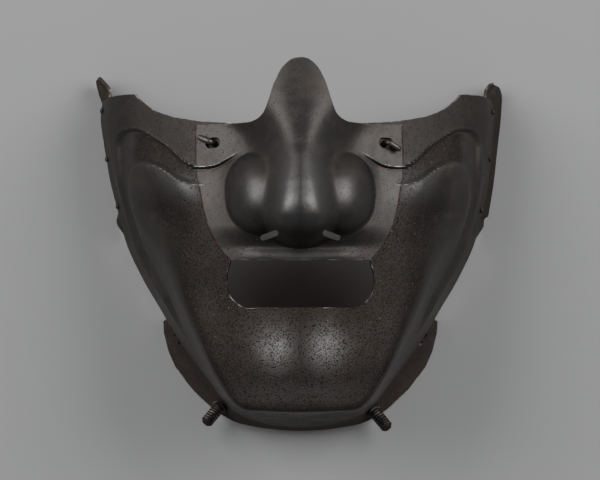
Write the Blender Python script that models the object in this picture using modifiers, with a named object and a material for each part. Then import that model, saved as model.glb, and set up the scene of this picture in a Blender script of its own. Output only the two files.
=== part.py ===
"""Samurai face guard: a half mask of sheet iron with a nose that comes off.

Lengths are in metres. X runs across the face, Y up the face towards the bridge of the nose, and Z
forwards, away from the wearer. The mask lies face up on its rear edges. It is worked out with the
middle of the mouth at X = 0 and Y = 0 and then moved, so that its box stands centred on the origin.
"""

import bpy
import bmesh
import math
from collections import namedtuple
from mathutils import Matrix, Vector

MM = 0.001

# Face plate: cheeks, jaw and chin in one sheet
WALL = 1.4 * MM
FACE_HALF_WIDTH = 83.2 * MM
CHEEK_RISE = 80.3 * MM
CHIN_DROP = 52.3 * MM
FACE_DEPTH = 80.0 * MM
FACE_FLATNESS = 2.2
MOUTH_WIDTH = 60.4 * MM
MOUTH_HEIGHT = 19.3 * MM
CHEEK_SKEW = 1.3 * MM
RIM_RISE = 0.828 * CHEEK_RISE
SKEW_LOW = 0.25
SKEW_HIGH = 0.90
TOP_REACH = 3.0
TOP_CURVE = 1.5

# Swell in the middle of the chin
CHIN_SWELL = 4.6 * MM
CHIN_HALF_WIDTH = 0.180 * FACE_HALF_WIDTH
CHIN_HALF_LENGTH = 0.478 * CHIN_DROP
CHIN_MIDDLE = -0.593 * CHIN_DROP

# Hammered relief of the cheeks
RIDGE_STEP = 1.9 * MM
RIDGE_EDGE = 1.3 * MM
RIDGE_FADE = 15.0 * MM
RIDGE_START = 0.42
RIDGE_FULL = 0.60
ARCH_SWELL = 1.5 * MM
ARCH_EDGE = 3.0 * MM
ARCH_FADE = 8.0 * MM
ARCH_LOW = 0.06
ARCH_HIGH = 0.30
BONE_SWELL = 2.2 * MM
HOLLOW_DEPTH = 2.4 * MM

# Nose piece; what lies up the nose is a share of its rise
NOSE_WALL = 1.3 * MM
SEAT_GAP = 0.4 * MM
NOSE_RISE = 1.146 * CHEEK_RISE
NOSE_FLANGE_HALF_WIDTH = 42.3 * MM
NOSE_FLANGE_RISE = 0.8095 * CHEEK_RISE
NOSE_RIDGE_HALF_WIDTH = 15.6 * MM
NOSE_RIDGE_SLOPE = 0.22
NOSE_HEIGHT = 33.0 * MM
WING_SPREAD = 16.2 * MM
WING_RISE = 0.400 * NOSE_RISE
WING_HALF_WIDTH = 14.4 * MM
WING_INNER_WIDTH = 8.0 * MM
WING_HALF_LENGTH = 0.189 * NOSE_RISE
WING_HEIGHT = 17.5 * MM
WING_DOME = 0.60
WING_SQUARENESS = 2.3
ROOT_HEIGHT = 9.5 * MM
ROOT_HALF_WIDTH = 26.0 * MM
ROOT_NARROWING = 0.30
ROOT_FLATNESS = 2.4
ROOT_LOW = 0.15
ROOT_FULL = 0.26
ROOT_NARROW_LOW = 0.35
ROOT_NARROW_HIGH = 0.72
NOSE_SOFTNESS = 4.0
LIP_SWELL = 1.5 * MM
LIP_OVER_MOUTH = 1.75 * MM
LIP_HALF_LENGTH = 3.2 * MM
LIP_FADE = 0.5
NOSTRIL_SPREAD = 12.6 * MM
NOSTRIL_RISE = 0.213 * NOSE_RISE
NOSTRIL_WIDTH = 7.6 * MM
NOSTRIL_LENGTH = 2.4 * MM
NOSTRIL_DEPTH = 30.0 * MM
NOSTRIL_SLANT = 0.35

# Turning pins and the slots they pass through
PIN_DIAMETER = 2.6 * MM
PIN_SPREAD = NOSE_FLANGE_HALF_WIDTH - 7.5 * MM
PIN_RISE = 0.712 * CHEEK_RISE
PIN_ARM = 6.2 * MM
PIN_BEND = 1.4 * MM
PIN_HEAD_LIFT = 0.9 * MM
PIN_FOOT_DIAMETER = 3.8 * MM
PIN_FOOT_HEIGHT = 0.8 * MM
PIN_CLEARANCE = 0.15 * MM
PIN_TURNS = {"left": 157.0, "right": -27.0}
SLOT_LENGTH = 6.6 * MM
SLOT_WIDTH = 4.5 * MM

# Throat flange behind the jaw
FLANGE_WALL = 1.3 * MM
FLANGE_LAP = 4.5 * MM
FLANGE_FLARE = 8.2 * MM
FLANGE_LIFT = 10.0 * MM
LACE_HOLE = 2.3 * MM
LACE_PITCH = 3.8 * MM
LACE_START = 4.2 * MM
LACE_COUNT = 3
LACE_ON_FLANGE = 0.42
FLANGE_BEND = 0.62

# Cord guards along the rear edges of the cheeks; the right one sits a little lower
GUARD_WALL = 1.2 * MM
GUARD_TOP = {"left": 1.0735 * CHEEK_RISE, "right": 1.0400 * CHEEK_RISE}
GUARD_LENGTH = 0.828 * CHEEK_RISE
GUARD_TAB = 0.712 * CHEEK_RISE
GUARD_LAP = 7.5 * MM
GUARD_TIP_DEPTH = 8.0 * MM
GUARD_TIP_LENGTH = 13.0 * MM
GUARD_TAIL_LENGTH = 7.5 * MM
GUARD_TAIL_DROP = 1.2 * MM
GUARD_TAIL_MIDDLE = {"left": 0.50, "right": 0.80}
GUARD_END_SHARE = 0.14
GUARD_FOOT = 0.6 * MM
GUARD_KNEE = 0.7 * MM
GUARD_KNEE_LIMIT = 0.6
GUARD_STEP = 2.5 * MM
GUARD_BEND = 5.0 * MM
GUARD_TIP_BEND = 10.0 * MM
GUARD_TIP_CLEAR = 2.0 * MM
GUARD_TAIL_BEND = 4.0 * MM
GUARD_SPLAY = {"left": -1.6 * MM, "right": 3.2 * MM}
GUARD_SPLAY_CURVE = 1.3
GUARD_TIP_FLARE = {"left": 4.2 * MM, "right": 2.5 * MM}
GUARD_TAIL_FLARE = {"left": 4.2 * MM, "right": 0.8 * MM}

# Rivets of the guards
RIVET_SHANK = 1.2 * MM
RIVET_HEAD = 2.4 * MM
RIVET_HEAD_HEIGHT = 0.8 * MM
RIVET_CLEARANCE = 0.3 * MM
RIVET_INSET = 3.9 * MM
RIVET_SHARES = {"left": (0.897, 0.645, 0.396), "right": (0.890, 0.645, 0.375)}

# Ribbed pegs on the throat flange, under the corners of the chin
PEG_DIAMETER = 5.3 * MM
PEG_LENGTH = 10.6 * MM
PEG_RIBS = 7
PEG_GROOVE = 0.6 * MM
PEG_COLLAR = 6.6 * MM
PEG_COLLAR_HEIGHT = 0.8 * MM
PEG_SHANK = 2.4 * MM
PEG_FOOT = 4.2 * MM
PEG_FOOT_HEIGHT = 0.9 * MM
PEG_PLACE = {"left": 9.66, "right": 9.88}
PEG_ON_FLANGE = 0.68
PEG_HEADING = 50.0
PEG_LIFT = 32.0
PEG_SEAT = 0.45 * MM

GAP = 0.3 * MM

# Meshing
SUB_COLUMNS = (3, 3, 4, 3, 2, 2, 2, 2, 2, 3, 3, 2)
FRONT_ROWS = 9
FOLD_ROWS = 5
REAR_ROWS = 3
NOSE_COLUMNS = (
    0.0, 0.05, 0.11, 0.17, 0.22, 0.27, 0.32, 0.37, 0.42, 0.48, 0.55, 0.62, 0.69, 0.78, 0.89, 1.0,
)
NOSE_ROWS = (
    0.0, 0.06, 0.13, 0.21, 0.29, 0.37, 0.45, 0.53, 0.60, 0.66, 0.72, 0.77, 0.815, 0.85, 0.88, 0.905,
    0.93, 0.96, 1.0,
)
FLANGE_LAP_ROWS = 1
FLANGE_ROWS = 3
GUARD_ROWS = 17
GUARD_EVENNESS = 0.6
GUARD_STRIPS = 2
ROUND_SIDES = 12
TURNED_SIDES = 10

# Sections of the face plate, from the top of a cheek round the jaw to the middle of the chin.
# Inner: shares of the mouth, and above its top edge shares of the way to the rim, plus 1.
# Fold and rear: shares of the half width, and of the cheek's rise or the chin's drop.
Section = namedtuple(
    "Section",
    "inner_across inner_up fold_across fold_up rear_across rear_up rear_depth roundness",
)
SECTIONS = (
    Section(0.64, 2.000, 0.938, 0.971, 0.990, 0.970, 0.125, 0.50),
    Section(0.68, 1.894, 0.941, 0.868, 1.000, 0.872, 0.118, 0.50),
    Section(0.74, 1.789, 0.928, 0.741, 0.988, 0.737, 0.112, 0.50),
    Section(0.84, 1.573, 0.885, 0.522, 0.960, 0.522, 0.106, 0.50),
    Section(0.88, 1.358, 0.818, 0.386, 0.927, 0.369, 0.106, 0.50),
    Section(0.93, 1.157, 0.728, 0.242, 0.884, 0.200, 0.112, 0.48),
    Section(0.95, 0.960, 0.656, 0.078, 0.812, 0.037, 0.125, 0.42),
    Section(1.00, 0.240, 0.598, -0.153, 0.718, -0.201, 0.137, 0.36),
    Section(0.95, -0.520, 0.506, -0.424, 0.604, -0.499, 0.150, 0.28),
    Section(0.76, -1.000, 0.412, -0.736, 0.466, -0.795, 0.187, 0.18),
    Section(0.51, -1.000, 0.300, -0.964, 0.339, -1.036, 0.225, 0.07),
    Section(0.26, -1.000, 0.156, -0.992, 0.181, -1.134, 0.262, 0.04),
    Section(0.00, -1.000, 0.000, -1.000, 0.000, -1.164, 0.275, 0.04),
)

# Levels of the face, top to bottom: how far forward its middle stands and how far its sides fall,
# both as shares of the face's depth.
Level = namedtuple("Level", "up crown fall")
LEVELS = (
    Level(1.18, 0.820, 0.55),
    Level(0.87, 0.875, 0.55),
    Level(0.50, 0.940, 0.565),
    Level(0.12, 0.982, 0.60),
    Level(-0.19, 1.000, 0.62),
    Level(-0.57, 1.030, 0.70),
    Level(-0.86, 1.025, 0.76),
    Level(-1.00, 1.005, 0.78),
    Level(-1.25, 0.900, 0.78),
)

# Top edge of a cheek from the nose outwards, as shares of the half width and the cheek's rise.
Edge = namedtuple("Edge", "across up")
TOP_EDGE = (
    Edge(0.000, 0.8150),
    Edge(0.300, 0.8165),
    Edge(0.420, 0.8205),
    Edge(0.508, 0.829),
    Edge(0.605, 0.845),
    Edge(0.690, 0.870),
    Edge(0.743, 0.897),
    Edge(0.800, 0.945),
    Edge(0.842, 0.995),
    Edge(0.895, 0.980),
    Edge(0.960, 0.958),
    Edge(1.000, 0.946),
)

# Crisp outer ridge of a cheek, in the same shares; the rows past the cheek run down the jaw.
RIDGE = (
    Edge(0.440, 0.600),
    Edge(0.512, 0.592),
    Edge(0.575, 0.622),
    Edge(0.625, 0.672),
    Edge(0.675, 0.716),
    Edge(0.765, 0.772),
    Edge(0.828, 0.790),
    Edge(0.880, 0.780),
    Edge(0.906, 0.742),
    Edge(0.914, 0.680),
    Edge(0.902, 0.470),
    Edge(0.852, 0.265),
    Edge(0.795, 0.105),
    Edge(0.712, -0.060),
    Edge(0.690, -0.120),
)

# Softer arch inside the ridge; the cheek stands a little higher within it.
ARCH = (
    Edge(0.440, 0.520),
    Edge(0.505, 0.512),
    Edge(0.584, 0.533),
    Edge(0.647, 0.574),
    Edge(0.702, 0.608),
    Edge(0.755, 0.622),
    Edge(0.805, 0.618),
    Edge(0.845, 0.590),
    Edge(0.864, 0.530),
    Edge(0.866, 0.455),
    Edge(0.858, 0.380),
    Edge(0.838, 0.290),
    Edge(0.810, 0.195),
    Edge(0.775, 0.090),
)

# The cheekbone and the hollow below it: middle and reach in the same shares, and height.
Swell = namedtuple("Swell", "across up half_width half_length height")
SWELLS = (
    Swell(0.575, 0.475, 0.110, 0.100, BONE_SWELL),
    Swell(0.670, 0.330, 0.110, 0.150, -HOLLOW_DEPTH),
)

# Nose ridge from its tip at the bridge down to the lip: its height as a share of the nose's
# height, its half width as a share of the ridge's half width, how flat its top is, and how far
# its crest is rounded as a share of that half width.
Bridge = namedtuple("Bridge", "up height half_width flatness crest")
NOSE_RIDGE = (
    Bridge(1.000, 0.50, 2.10, 3.0, 0.80),
    Bridge(0.870, 0.56, 2.00, 3.0, 0.80),
    Bridge(0.800, 0.60, 1.75, 3.0, 0.80),
    Bridge(0.740, 0.64, 1.42, 3.0, 0.75),
    Bridge(0.680, 0.69, 1.18, 2.8, 0.60),
    Bridge(0.620, 0.75, 1.04, 2.6, 0.30),
    Bridge(0.570, 0.82, 0.98, 2.6, 0.08),
    Bridge(0.510, 0.89, 0.96, 2.8, 0.02),
    Bridge(0.450, 0.95, 0.97, 3.4, 0.03),
    Bridge(0.370, 1.00, 1.00, 4.0, 0.07),
    Bridge(0.310, 0.98, 0.99, 4.8, 0.10),
    Bridge(0.265, 0.90, 0.91, 4.8, 0.14),
    Bridge(0.230, 0.75, 0.79, 4.2, 0.30),
    Bridge(0.200, 0.53, 0.64, 3.4, 0.50),
    Bridge(0.178, 0.28, 0.47, 3.1, 0.80),
    Bridge(0.162, 0.06, 0.34, 3.1, 0.80),
    Bridge(0.150, 0.00, 0.25, 3.1, 0.80),
    Bridge(0.090, 0.00, 0.25, 3.1, 0.80),
)

# Outline of the nose above its flanges: shares of the flange's half width, and of the way from the
# flange's top edge up to the bridge.
NOSE_TOP = (
    Edge(0.000, 1.000),
    Edge(0.090, 0.965),
    Edge(0.180, 0.830),
    Edge(0.255, 0.600),
    Edge(0.305, 0.350),
    Edge(0.345, 0.180),
    Edge(0.400, 0.085),
    Edge(0.480, 0.030),
    Edge(0.620, 0.012),
    Edge(1.000, 0.000),
)

# Side seams of the nose piece from the flange's top edge down to the lip.
Seam = namedtuple("Seam", "down half_width")
NOSE_SEAMS = (
    Seam(0.00, 1.000),
    Seam(0.36, 1.000),
    Seam(0.50, 0.965),
    Seam(0.64, 0.930),
    Seam(0.76, 0.885),
    Seam(0.87, 0.815),
    Seam(0.95, 0.740),
    Seam(1.00, 0.680),
)

# Throat flange from its end below a cheek round to the middle of the throat. The place counts the
# sections of the face plate. Flare is how far the flange spreads, as a share of its widest flare,
# and lift where its edge stands, as a share of how high it stands at the throat.
Flange = namedtuple("Flange", "place flare lift")
FLANGE = (
    Flange(7.35, 0.24, 0.02),
    Flange(7.60, 0.61, -0.06),
    Flange(8.00, 0.95, -0.06),
    Flange(8.50, 1.00, 0.04),
    Flange(9.00, 0.98, 0.18),
    Flange(9.50, 0.78, 0.36),
    Flange(10.0, 0.54, 0.56),
    Flange(11.0, 0.32, 0.90),
    Flange(12.0, 0.27, 1.00),
)

# Outline of a rivet's head, from its top to its rim: shares of its radius and of its height.
Outline = namedtuple("Outline", "across up")
RIVET_DOME = (
    Outline(0.00, 1.00),
    Outline(0.62, 0.72),
    Outline(1.00, 0.12),
    Outline(1.00, 0.00),
)
RIVET_FOOT_WIDTH = 0.85
RIVET_FOOT_HEIGHT = 0.60

# One rib of a peg, down from its top: how much of the groove's depth it has and its share of the pitch.
Rib = namedtuple("Rib", "groove down")
PEG_RIB = (
    Rib(0.0, 0.30),
    Rib(0.0, 0.60),
    Rib(1.0, 0.95),
)
PEG_TIP_WIDTH = 0.62
PEG_TIP_DROP = 0.12

# Materials: colour, roughness, metallic
IRON = ("russet_iron", (0.030, 0.024, 0.020), 0.42, 0.85)
NOSE_IRON = ("nose_iron", (0.032, 0.026, 0.023), 0.40, 0.85)
FLANGE_IRON = ("rusty_flange_iron", (0.070, 0.045, 0.032), 0.60, 0.60)
GUARD_IRON = ("guard_iron", (0.050, 0.038, 0.032), 0.50, 0.75)
WORN_IRON = ("worn_pin_iron", (0.170, 0.150, 0.130), 0.38, 0.95)
PEG_IRON = ("peg_iron", (0.045, 0.036, 0.032), 0.50, 0.80)


def clear_scene():
    """Removes every object, mesh and material that the scene holds."""
    for item in list(bpy.data.objects):
        bpy.data.objects.remove(item, do_unlink=True)
    for mesh in list(bpy.data.meshes):
        bpy.data.meshes.remove(mesh)
    for material in list(bpy.data.materials):
        bpy.data.materials.remove(material)


def new_collection(name):
    """Makes a collection of this name in the scene."""
    collection = bpy.data.collections.new(name)
    bpy.context.scene.collection.children.link(collection)
    return collection


def new_material(values):
    """Makes a material from its name, colour, roughness and metallic value."""
    name, colour, roughness, metallic = values
    material = bpy.data.materials.new(name)
    material.use_nodes = True
    shader = material.node_tree.nodes["Principled BSDF"]
    shader.inputs["Base Color"].default_value = (*colour, 1.0)
    shader.inputs["Roughness"].default_value = roughness
    shader.inputs["Metallic"].default_value = metallic
    return material


def rise(share):
    """Turns a share into a height above the mouth's middle, or below it where it is negative."""
    return share * CHEEK_RISE if share >= 0.0 else share * CHIN_DROP


def smooth_step(low, high, value):
    """Eases from 0 at low to 1 at high."""
    share = min(max((value - low) / (high - low), 0.0), 1.0)
    return share * share * (3.0 - 2.0 * share)


def through(values, place):
    """Reads a smooth curve through evenly placed values at a place counted in values."""
    last = len(values) - 1
    start = min(max(int(math.floor(place)), 0), last - 1)
    part = place - start
    before = values[max(start - 1, 0)]
    first = values[start]
    second = values[start + 1]
    after = values[min(start + 2, last)]
    slope_first = (second - before) * 0.5
    slope_second = (after - first) * 0.5
    square = part * part
    cube = square * part
    return (
        first * (2 * cube - 3 * square + 1)
        + slope_first * (cube - 2 * square + part)
        + second * (3 * square - 2 * cube)
        + slope_second * (cube - square)
    )


def place_in(keys, value):
    """Finds where a value lies among rising keys, counted in keys."""
    if value <= keys[0]:
        return 0.0
    for index in range(len(keys) - 1):
        if value <= keys[index + 1]:
            return index + (value - keys[index]) / (keys[index + 1] - keys[index])
    return float(len(keys) - 1)


def face_height(x, y):
    """Gives how far forward the smooth face stands at a point, before its relief."""
    keys = [-rise(level.up) for level in LEVELS]
    place = place_in(keys, -y)
    crown = through([level.crown for level in LEVELS], place)
    fall = through([level.fall for level in LEVELS], place)
    smooth = FACE_DEPTH * (crown - fall * abs(x / FACE_HALF_WIDTH) ** FACE_FLATNESS)
    chin = (x / CHIN_HALF_WIDTH) ** 2 + ((y - CHIN_MIDDLE) / CHIN_HALF_LENGTH) ** 2
    return smooth + CHIN_SWELL * math.exp(-chin)


def line_distance(points, x, y):
    """Gives the distance to a line of points and on which side of it a point lies (inside is +)."""
    best = None
    for first, second in zip(points, points[1:]):
        along = second - first
        offset = Vector((x, y)) - first
        share = min(max(offset.dot(along) / along.length_squared, 0.0), 1.0)
        away = offset - along * share
        if best is None or away.length < best[0]:
            side = along.x * offset.y - along.y * offset.x
            best = (away.length, -1.0 if side > 0.0 else 1.0)
    return best


def line_points(rows):
    """Turns a table of shares into points on the right-hand half of the face."""
    return [Vector((row.across * FACE_HALF_WIDTH, rise(row.up))) for row in rows]


RIDGE_POINTS = line_points(RIDGE)
ARCH_POINTS = line_points(ARCH)


def relief(x, y):
    """Gives the height of the cheeks' ridges, arches, bones and hollows over the smooth face."""
    across = abs(x) / FACE_HALF_WIDTH
    up = y / CHEEK_RISE
    away, side = line_distance(RIDGE_POINTS, abs(x), y)
    step = 0.0
    if side > 0.0:
        step = -RIDGE_STEP * smooth_step(0.0, RIDGE_EDGE, away) * math.exp(-((away / RIDGE_FADE) ** 2))
    away, side = line_distance(ARCH_POINTS, abs(x), y)
    swell = ARCH_SWELL * smooth_step(-ARCH_EDGE / 2, ARCH_EDGE / 2, away * side)
    swell *= math.exp(-((max(away * side, 0.0) / ARCH_FADE) ** 2)) * smooth_step(ARCH_LOW, ARCH_HIGH, up)
    height = (step + swell) * smooth_step(RIDGE_START, RIDGE_FULL, across)
    for row in SWELLS:
        reach = ((across - row.across) / row.half_width) ** 2 + ((up - row.up) / row.half_length) ** 2
        height += row.height * math.exp(-reach)
    return height


def section_points(place):
    """Gives the inner edge, the fold and the rear edge of the face plate at a section's place."""
    rim = RIM_RISE - MOUTH_HEIGHT / 2
    inner_ups = [
        row.inner_up * MOUTH_HEIGHT / 2
        if row.inner_up <= 1.0
        else MOUTH_HEIGHT / 2 + (row.inner_up - 1.0) * rim
        for row in SECTIONS
    ]
    inner_x = through([row.inner_across for row in SECTIONS], place) * MOUTH_WIDTH / 2
    inner_y = through(inner_ups, place)
    fold_x = through([row.fold_across for row in SECTIONS], place) * FACE_HALF_WIDTH
    fold_y = through([rise(row.fold_up) for row in SECTIONS], place)
    rear_x = through([row.rear_across for row in SECTIONS], place) * FACE_HALF_WIDTH
    rear_y = through([rise(row.rear_up) for row in SECTIONS], place)
    rear_z = through([row.rear_depth for row in SECTIONS], place) * FACE_DEPTH
    fold = Vector((fold_x, fold_y, face_height(fold_x, fold_y)))
    return Vector((inner_x, inner_y)), fold, Vector((rear_x, rear_y, rear_z))


def top_edge_height(x):
    """Gives the height of the cheeks' top edge at a distance from the middle of the face."""
    place = place_in([row.across for row in TOP_EDGE], abs(x) / FACE_HALF_WIDTH)
    return through([row.up for row in TOP_EDGE], place) * CHEEK_RISE


def top_follow(place, point):
    """Bends the uppermost columns so that the first one is the cheek's top edge."""
    if place >= TOP_REACH:
        return point
    inner, fold, rear = section_points(0.0)
    share = (point.x - inner.x) / (rear.x - inner.x)
    straight = inner.y + (rear.y - inner.y) * min(max(share, 0.0), 1.0)
    weight = (1.0 - place / TOP_REACH) ** TOP_CURVE
    return Vector((point.x, point.y + (top_edge_height(point.x) - straight) * weight, point.z))


def face_point(place, row):
    """Gives a point of the smooth face plate: place counts sections, row goes from 0 to 1.

    The front runs from the inner edge over the face to the fold, and the side from the fold to the
    rear edge. Round the fold the two are joined by a bend as long as the section's roundness asks.
    """
    inner, fold, rear = section_points(place)
    roundness = through([section.roundness for section in SECTIONS], place)
    front = (fold.to_2d() - inner).length
    side = (rear - fold).length
    bend = roundness * min(front, side)
    front_end = 1.0 - bend / front
    side_start = bend / side
    if row <= 1.0:
        across = inner.lerp(fold.to_2d(), front_end * row)
        across = top_follow(place, Vector((across.x, across.y, 0.0)))
        return Vector((across.x, across.y, face_height(across.x, across.y)))
    last = inner.lerp(fold.to_2d(), front_end)
    last = top_follow(place, Vector((last.x, last.y, 0.0)))
    last.z = face_height(last.x, last.y)
    fold = top_follow(place, fold)
    rear = top_follow(place, rear)
    first = fold.lerp(rear, side_start)
    if row <= 2.0:
        share = row - 1.0
        return last.lerp(fold, share).lerp(fold.lerp(first, share), share)
    return first.lerp(rear, row - 2.0)


def pushed(point):
    """Moves a point of the upper cheeks a little to one side, as the worn plate stands."""
    share = smooth_step(SKEW_LOW, SKEW_HIGH, point.y / CHEEK_RISE) * abs(point.x) / FACE_HALF_WIDTH
    return Vector((point.x - CHEEK_SKEW * share, point.y, point.z))


def face_normal(place, row):
    """Gives the outward direction of the smooth face plate on the right-hand half."""
    step = 0.02
    last = len(SECTIONS) - 1.0
    low = max(place - step, 0.0)
    high = min(place + step, last)
    along = face_point(high, row) - face_point(low, row)
    down = face_point(place, min(row + step, 3.0)) - face_point(place, max(row - step, 0.0))
    return along.cross(down).normalized()


def face_surface(place, row):
    """Gives a point of the face plate's outer surface with its relief, on the right-hand half."""
    point = face_point(place, row)
    return point + face_normal(place, row) * relief(point.x, point.y)


def mirrored(point, side):
    """Turns a point of the right-hand half into the same point of the named side."""
    return Vector((point.x if side == "right" else -point.x, point.y, point.z))


def sheet_mesh(name, grid):
    """Makes an open sheet from a bmesh grid.

    The points are given in rows from the top or the inside, each from left to right, so that the
    sheet's faces point outwards.
    """
    rows = len(grid)
    columns = len(grid[0])
    sheet = bmesh.new()
    bmesh.ops.create_grid(sheet, x_segments=columns - 1, y_segments=rows - 1, size=1.0)
    sheet.verts.ensure_lookup_table()
    for row in range(rows):
        for column in range(columns):
            sheet.verts[(rows - 1 - row) * columns + column].co = grid[row][column]
    mesh = bpy.data.meshes.new(name)
    sheet.to_mesh(mesh)
    sheet.free()
    return mesh


def add_object(name, mesh, material, collection, smooth=True):
    """Adds a mesh to a collection as a named object with its material."""
    item = bpy.data.objects.new(name, mesh)
    mesh.materials.append(material)
    collection.objects.link(item)
    if smooth:
        mesh.shade_smooth()
        mesh.set_sharp_from_angle(angle=math.radians(35.0))
    return item


def add_wall(item, thickness):
    """Gives an open sheet its thickness, inwards from the modelled outer surface."""
    wall = item.modifiers.new("wall", "SOLIDIFY")
    wall.thickness = thickness
    wall.offset = -1.0
    wall.use_even_offset = True
    wall.use_rim = True


def add_cut(item, cutter):
    """Cuts one object out of another."""
    cut = item.modifiers.new("cut_" + cutter.name, "BOOLEAN")
    cut.operation = "DIFFERENCE"
    cut.solver = "EXACT"
    cut.object = cutter


def add_cutter(name, mesh, cutters):
    """Adds a cutter, drawn as wire and left out of renders."""
    item = bpy.data.objects.new(name, mesh)
    item.display_type = "WIRE"
    item.hide_render = True
    cutters.objects.link(item)
    return item


def axis_frame(origin, axis, across=Vector((0.0, 1.0, 0.0))):
    """Gives the matrix that puts +Z along an axis at an origin, with +X towards a direction."""
    forward = axis.normalized()
    sideways = (across - forward * across.dot(forward)).normalized()
    third = forward.cross(sideways)
    matrix = Matrix((sideways, third, forward)).transposed().to_4x4()
    matrix.translation = origin
    return matrix


def rod_mesh(name, diameter, length, stretch=0.0, sides=ROUND_SIDES):
    """Makes a closed rod along Z, centred, whose section may be stretched along X into a slot."""
    rod = bmesh.new()
    bmesh.ops.create_cone(
        rod, cap_ends=True, segments=sides, radius1=diameter / 2, radius2=diameter / 2, depth=length
    )
    for vertex in rod.verts:
        if abs(vertex.co.x) > diameter * 0.01:
            vertex.co.x += math.copysign(stretch / 2, vertex.co.x)
    mesh = bpy.data.meshes.new(name)
    rod.to_mesh(mesh)
    rod.free()
    return mesh


def column_places():
    """Gives the places of the face plate's columns, closer together where the cheek has its ridge."""
    places = []
    for section, count in enumerate(SUB_COLUMNS):
        places += [section + index / count for index in range(count)]
    return places + [float(len(SUB_COLUMNS))]


def row_places():
    """Gives the places of the face plate's rows over its front, round its fold and down its side."""
    front = [index / FRONT_ROWS for index in range(FRONT_ROWS)]
    fold = [1.0 + index / FOLD_ROWS for index in range(FOLD_ROWS)]
    return front + fold + [2.0 + index / REAR_ROWS for index in range(REAR_ROWS + 1)]


def ridge_side(place, row):
    """Tells how far inside the outer ridge a place of the face plate lies, or outside where negative."""
    point = face_point(place, row)
    away, side = line_distance(RIDGE_POINTS, point.x, point.y)
    return away * side


def ridge_crossing(first, second):
    """Finds where the way between two places of the face plate crosses the ridge."""
    inside_first = ridge_side(*first) > 0.0
    for halving in range(12):
        middle = ((first[0] + second[0]) / 2, (first[1] + second[1]) / 2)
        if (ridge_side(*middle) > 0.0) == inside_first:
            first = middle
        else:
            second = middle
    return middle


def ridge_nodes(columns, rows):
    """Lays out the face plate's grid and slides its nearest points onto the crisp outer ridge."""
    nodes = [[(place, row) for place in columns] for row in rows]
    inside = [[ridge_side(*node) > 0.0 for node in line] for line in nodes]
    reach = RIDGE[-1].up
    slid = set()
    for down_step, across_step in ((1, 0), (0, 1)):
        for down in range(1, len(rows) - 1 - down_step):
            for across in range(1, len(columns) - 1 - across_step):
                first = (down, across)
                second = (down + down_step, across + across_step)
                if first in slid or second in slid:
                    continue
                if inside[first[0]][first[1]] == inside[second[0]][second[1]]:
                    continue
                crossing = ridge_crossing(nodes[first[0]][first[1]], nodes[second[0]][second[1]])
                point = face_point(*crossing)
                if point.y < rise(reach) or point.x < RIDGE_POINTS[0].x:
                    continue
                start = face_point(*nodes[first[0]][first[1]])
                end = face_point(*nodes[second[0]][second[1]])
                nearer = first if (point - start).length < (point - end).length else second
                nodes[nearer[0]][nearer[1]] = crossing
                slid.add(nearer)
    return nodes


def build_face_plate(collection, material):
    """Builds the sheet with both cheeks, the jaw, the chin and the chin's underside."""
    grid = []
    for nodes in ridge_nodes(column_places(), row_places()):
        points = [face_surface(place, row) for place, row in nodes]
        points[-1].x = 0.0
        left = [mirrored(point, "left") for point in points]
        right = points[-2::-1]
        grid.append([pushed(point) for point in left + right])
    mesh = sheet_mesh("face_plate", grid)
    item = add_object("face_plate", mesh, material, collection)
    add_wall(item, WALL)
    return item


def nose_height(x, y):
    """Gives how far the nose, its wings and the lip stand over the face at a point of the nose piece."""
    place = place_in([-row.up * NOSE_RISE for row in NOSE_RIDGE], -y)
    height = through([row.height for row in NOSE_RIDGE], place) * NOSE_HEIGHT
    half = through([row.half_width for row in NOSE_RIDGE], place) * NOSE_RIDGE_HALF_WIDTH
    flatness = through([row.flatness for row in NOSE_RIDGE], place)
    crest = through([row.crest for row in NOSE_RIDGE], place) * half
    height -= NOSE_RIDGE_SLOPE * (math.hypot(x, crest) - crest)
    ridge = max(height, 0.0) * math.exp(-(abs(x / half) ** flatness))
    across = abs(x) - WING_SPREAD
    across /= WING_HALF_WIDTH if across > 0.0 else WING_INNER_WIDTH
    up = (y - WING_RISE) / WING_HALF_LENGTH
    wing = WING_HEIGHT * max(1.0 - across * across - abs(up) ** WING_SQUARENESS, 0.0) ** WING_DOME
    share = y / NOSE_RISE
    narrowing = 1.0 - ROOT_NARROWING * smooth_step(ROOT_NARROW_LOW, ROOT_NARROW_HIGH, share)
    spread = abs(x) / (ROOT_HALF_WIDTH * narrowing)
    root = ROOT_HEIGHT * math.exp(-(spread ** ROOT_FLATNESS)) * smooth_step(ROOT_LOW, ROOT_FULL, share)
    total = ridge ** NOSE_SOFTNESS + wing ** NOSE_SOFTNESS + root ** NOSE_SOFTNESS
    over_mouth = y - MOUTH_HEIGHT / 2 - LIP_OVER_MOUTH
    lip = LIP_SWELL * math.exp(-((over_mouth / LIP_HALF_LENGTH) ** 2))
    lip *= 1.0 - smooth_step(LIP_FADE, 1.0, abs(x) / (MOUTH_WIDTH / 2))
    return total ** (1.0 / NOSE_SOFTNESS) + lip


def seat_slope(x, y):
    """Gives the slopes of the smooth face along X and along Y."""
    along_x = (face_height(x + MM, y) - face_height(x - MM, y)) / (2 * MM)
    along_y = (face_height(x, y + MM) - face_height(x, y - MM)) / (2 * MM)
    return along_x, along_y


def seat_height(x, y):
    """Gives the nose piece's outer surface where it lies on the face plate."""
    along_x, along_y = seat_slope(x, y)
    stretch = math.sqrt(1.0 + along_x * along_x + along_y * along_y)
    return face_height(x, y) + (relief(x, y) + SEAT_GAP + NOSE_WALL) * stretch


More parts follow.
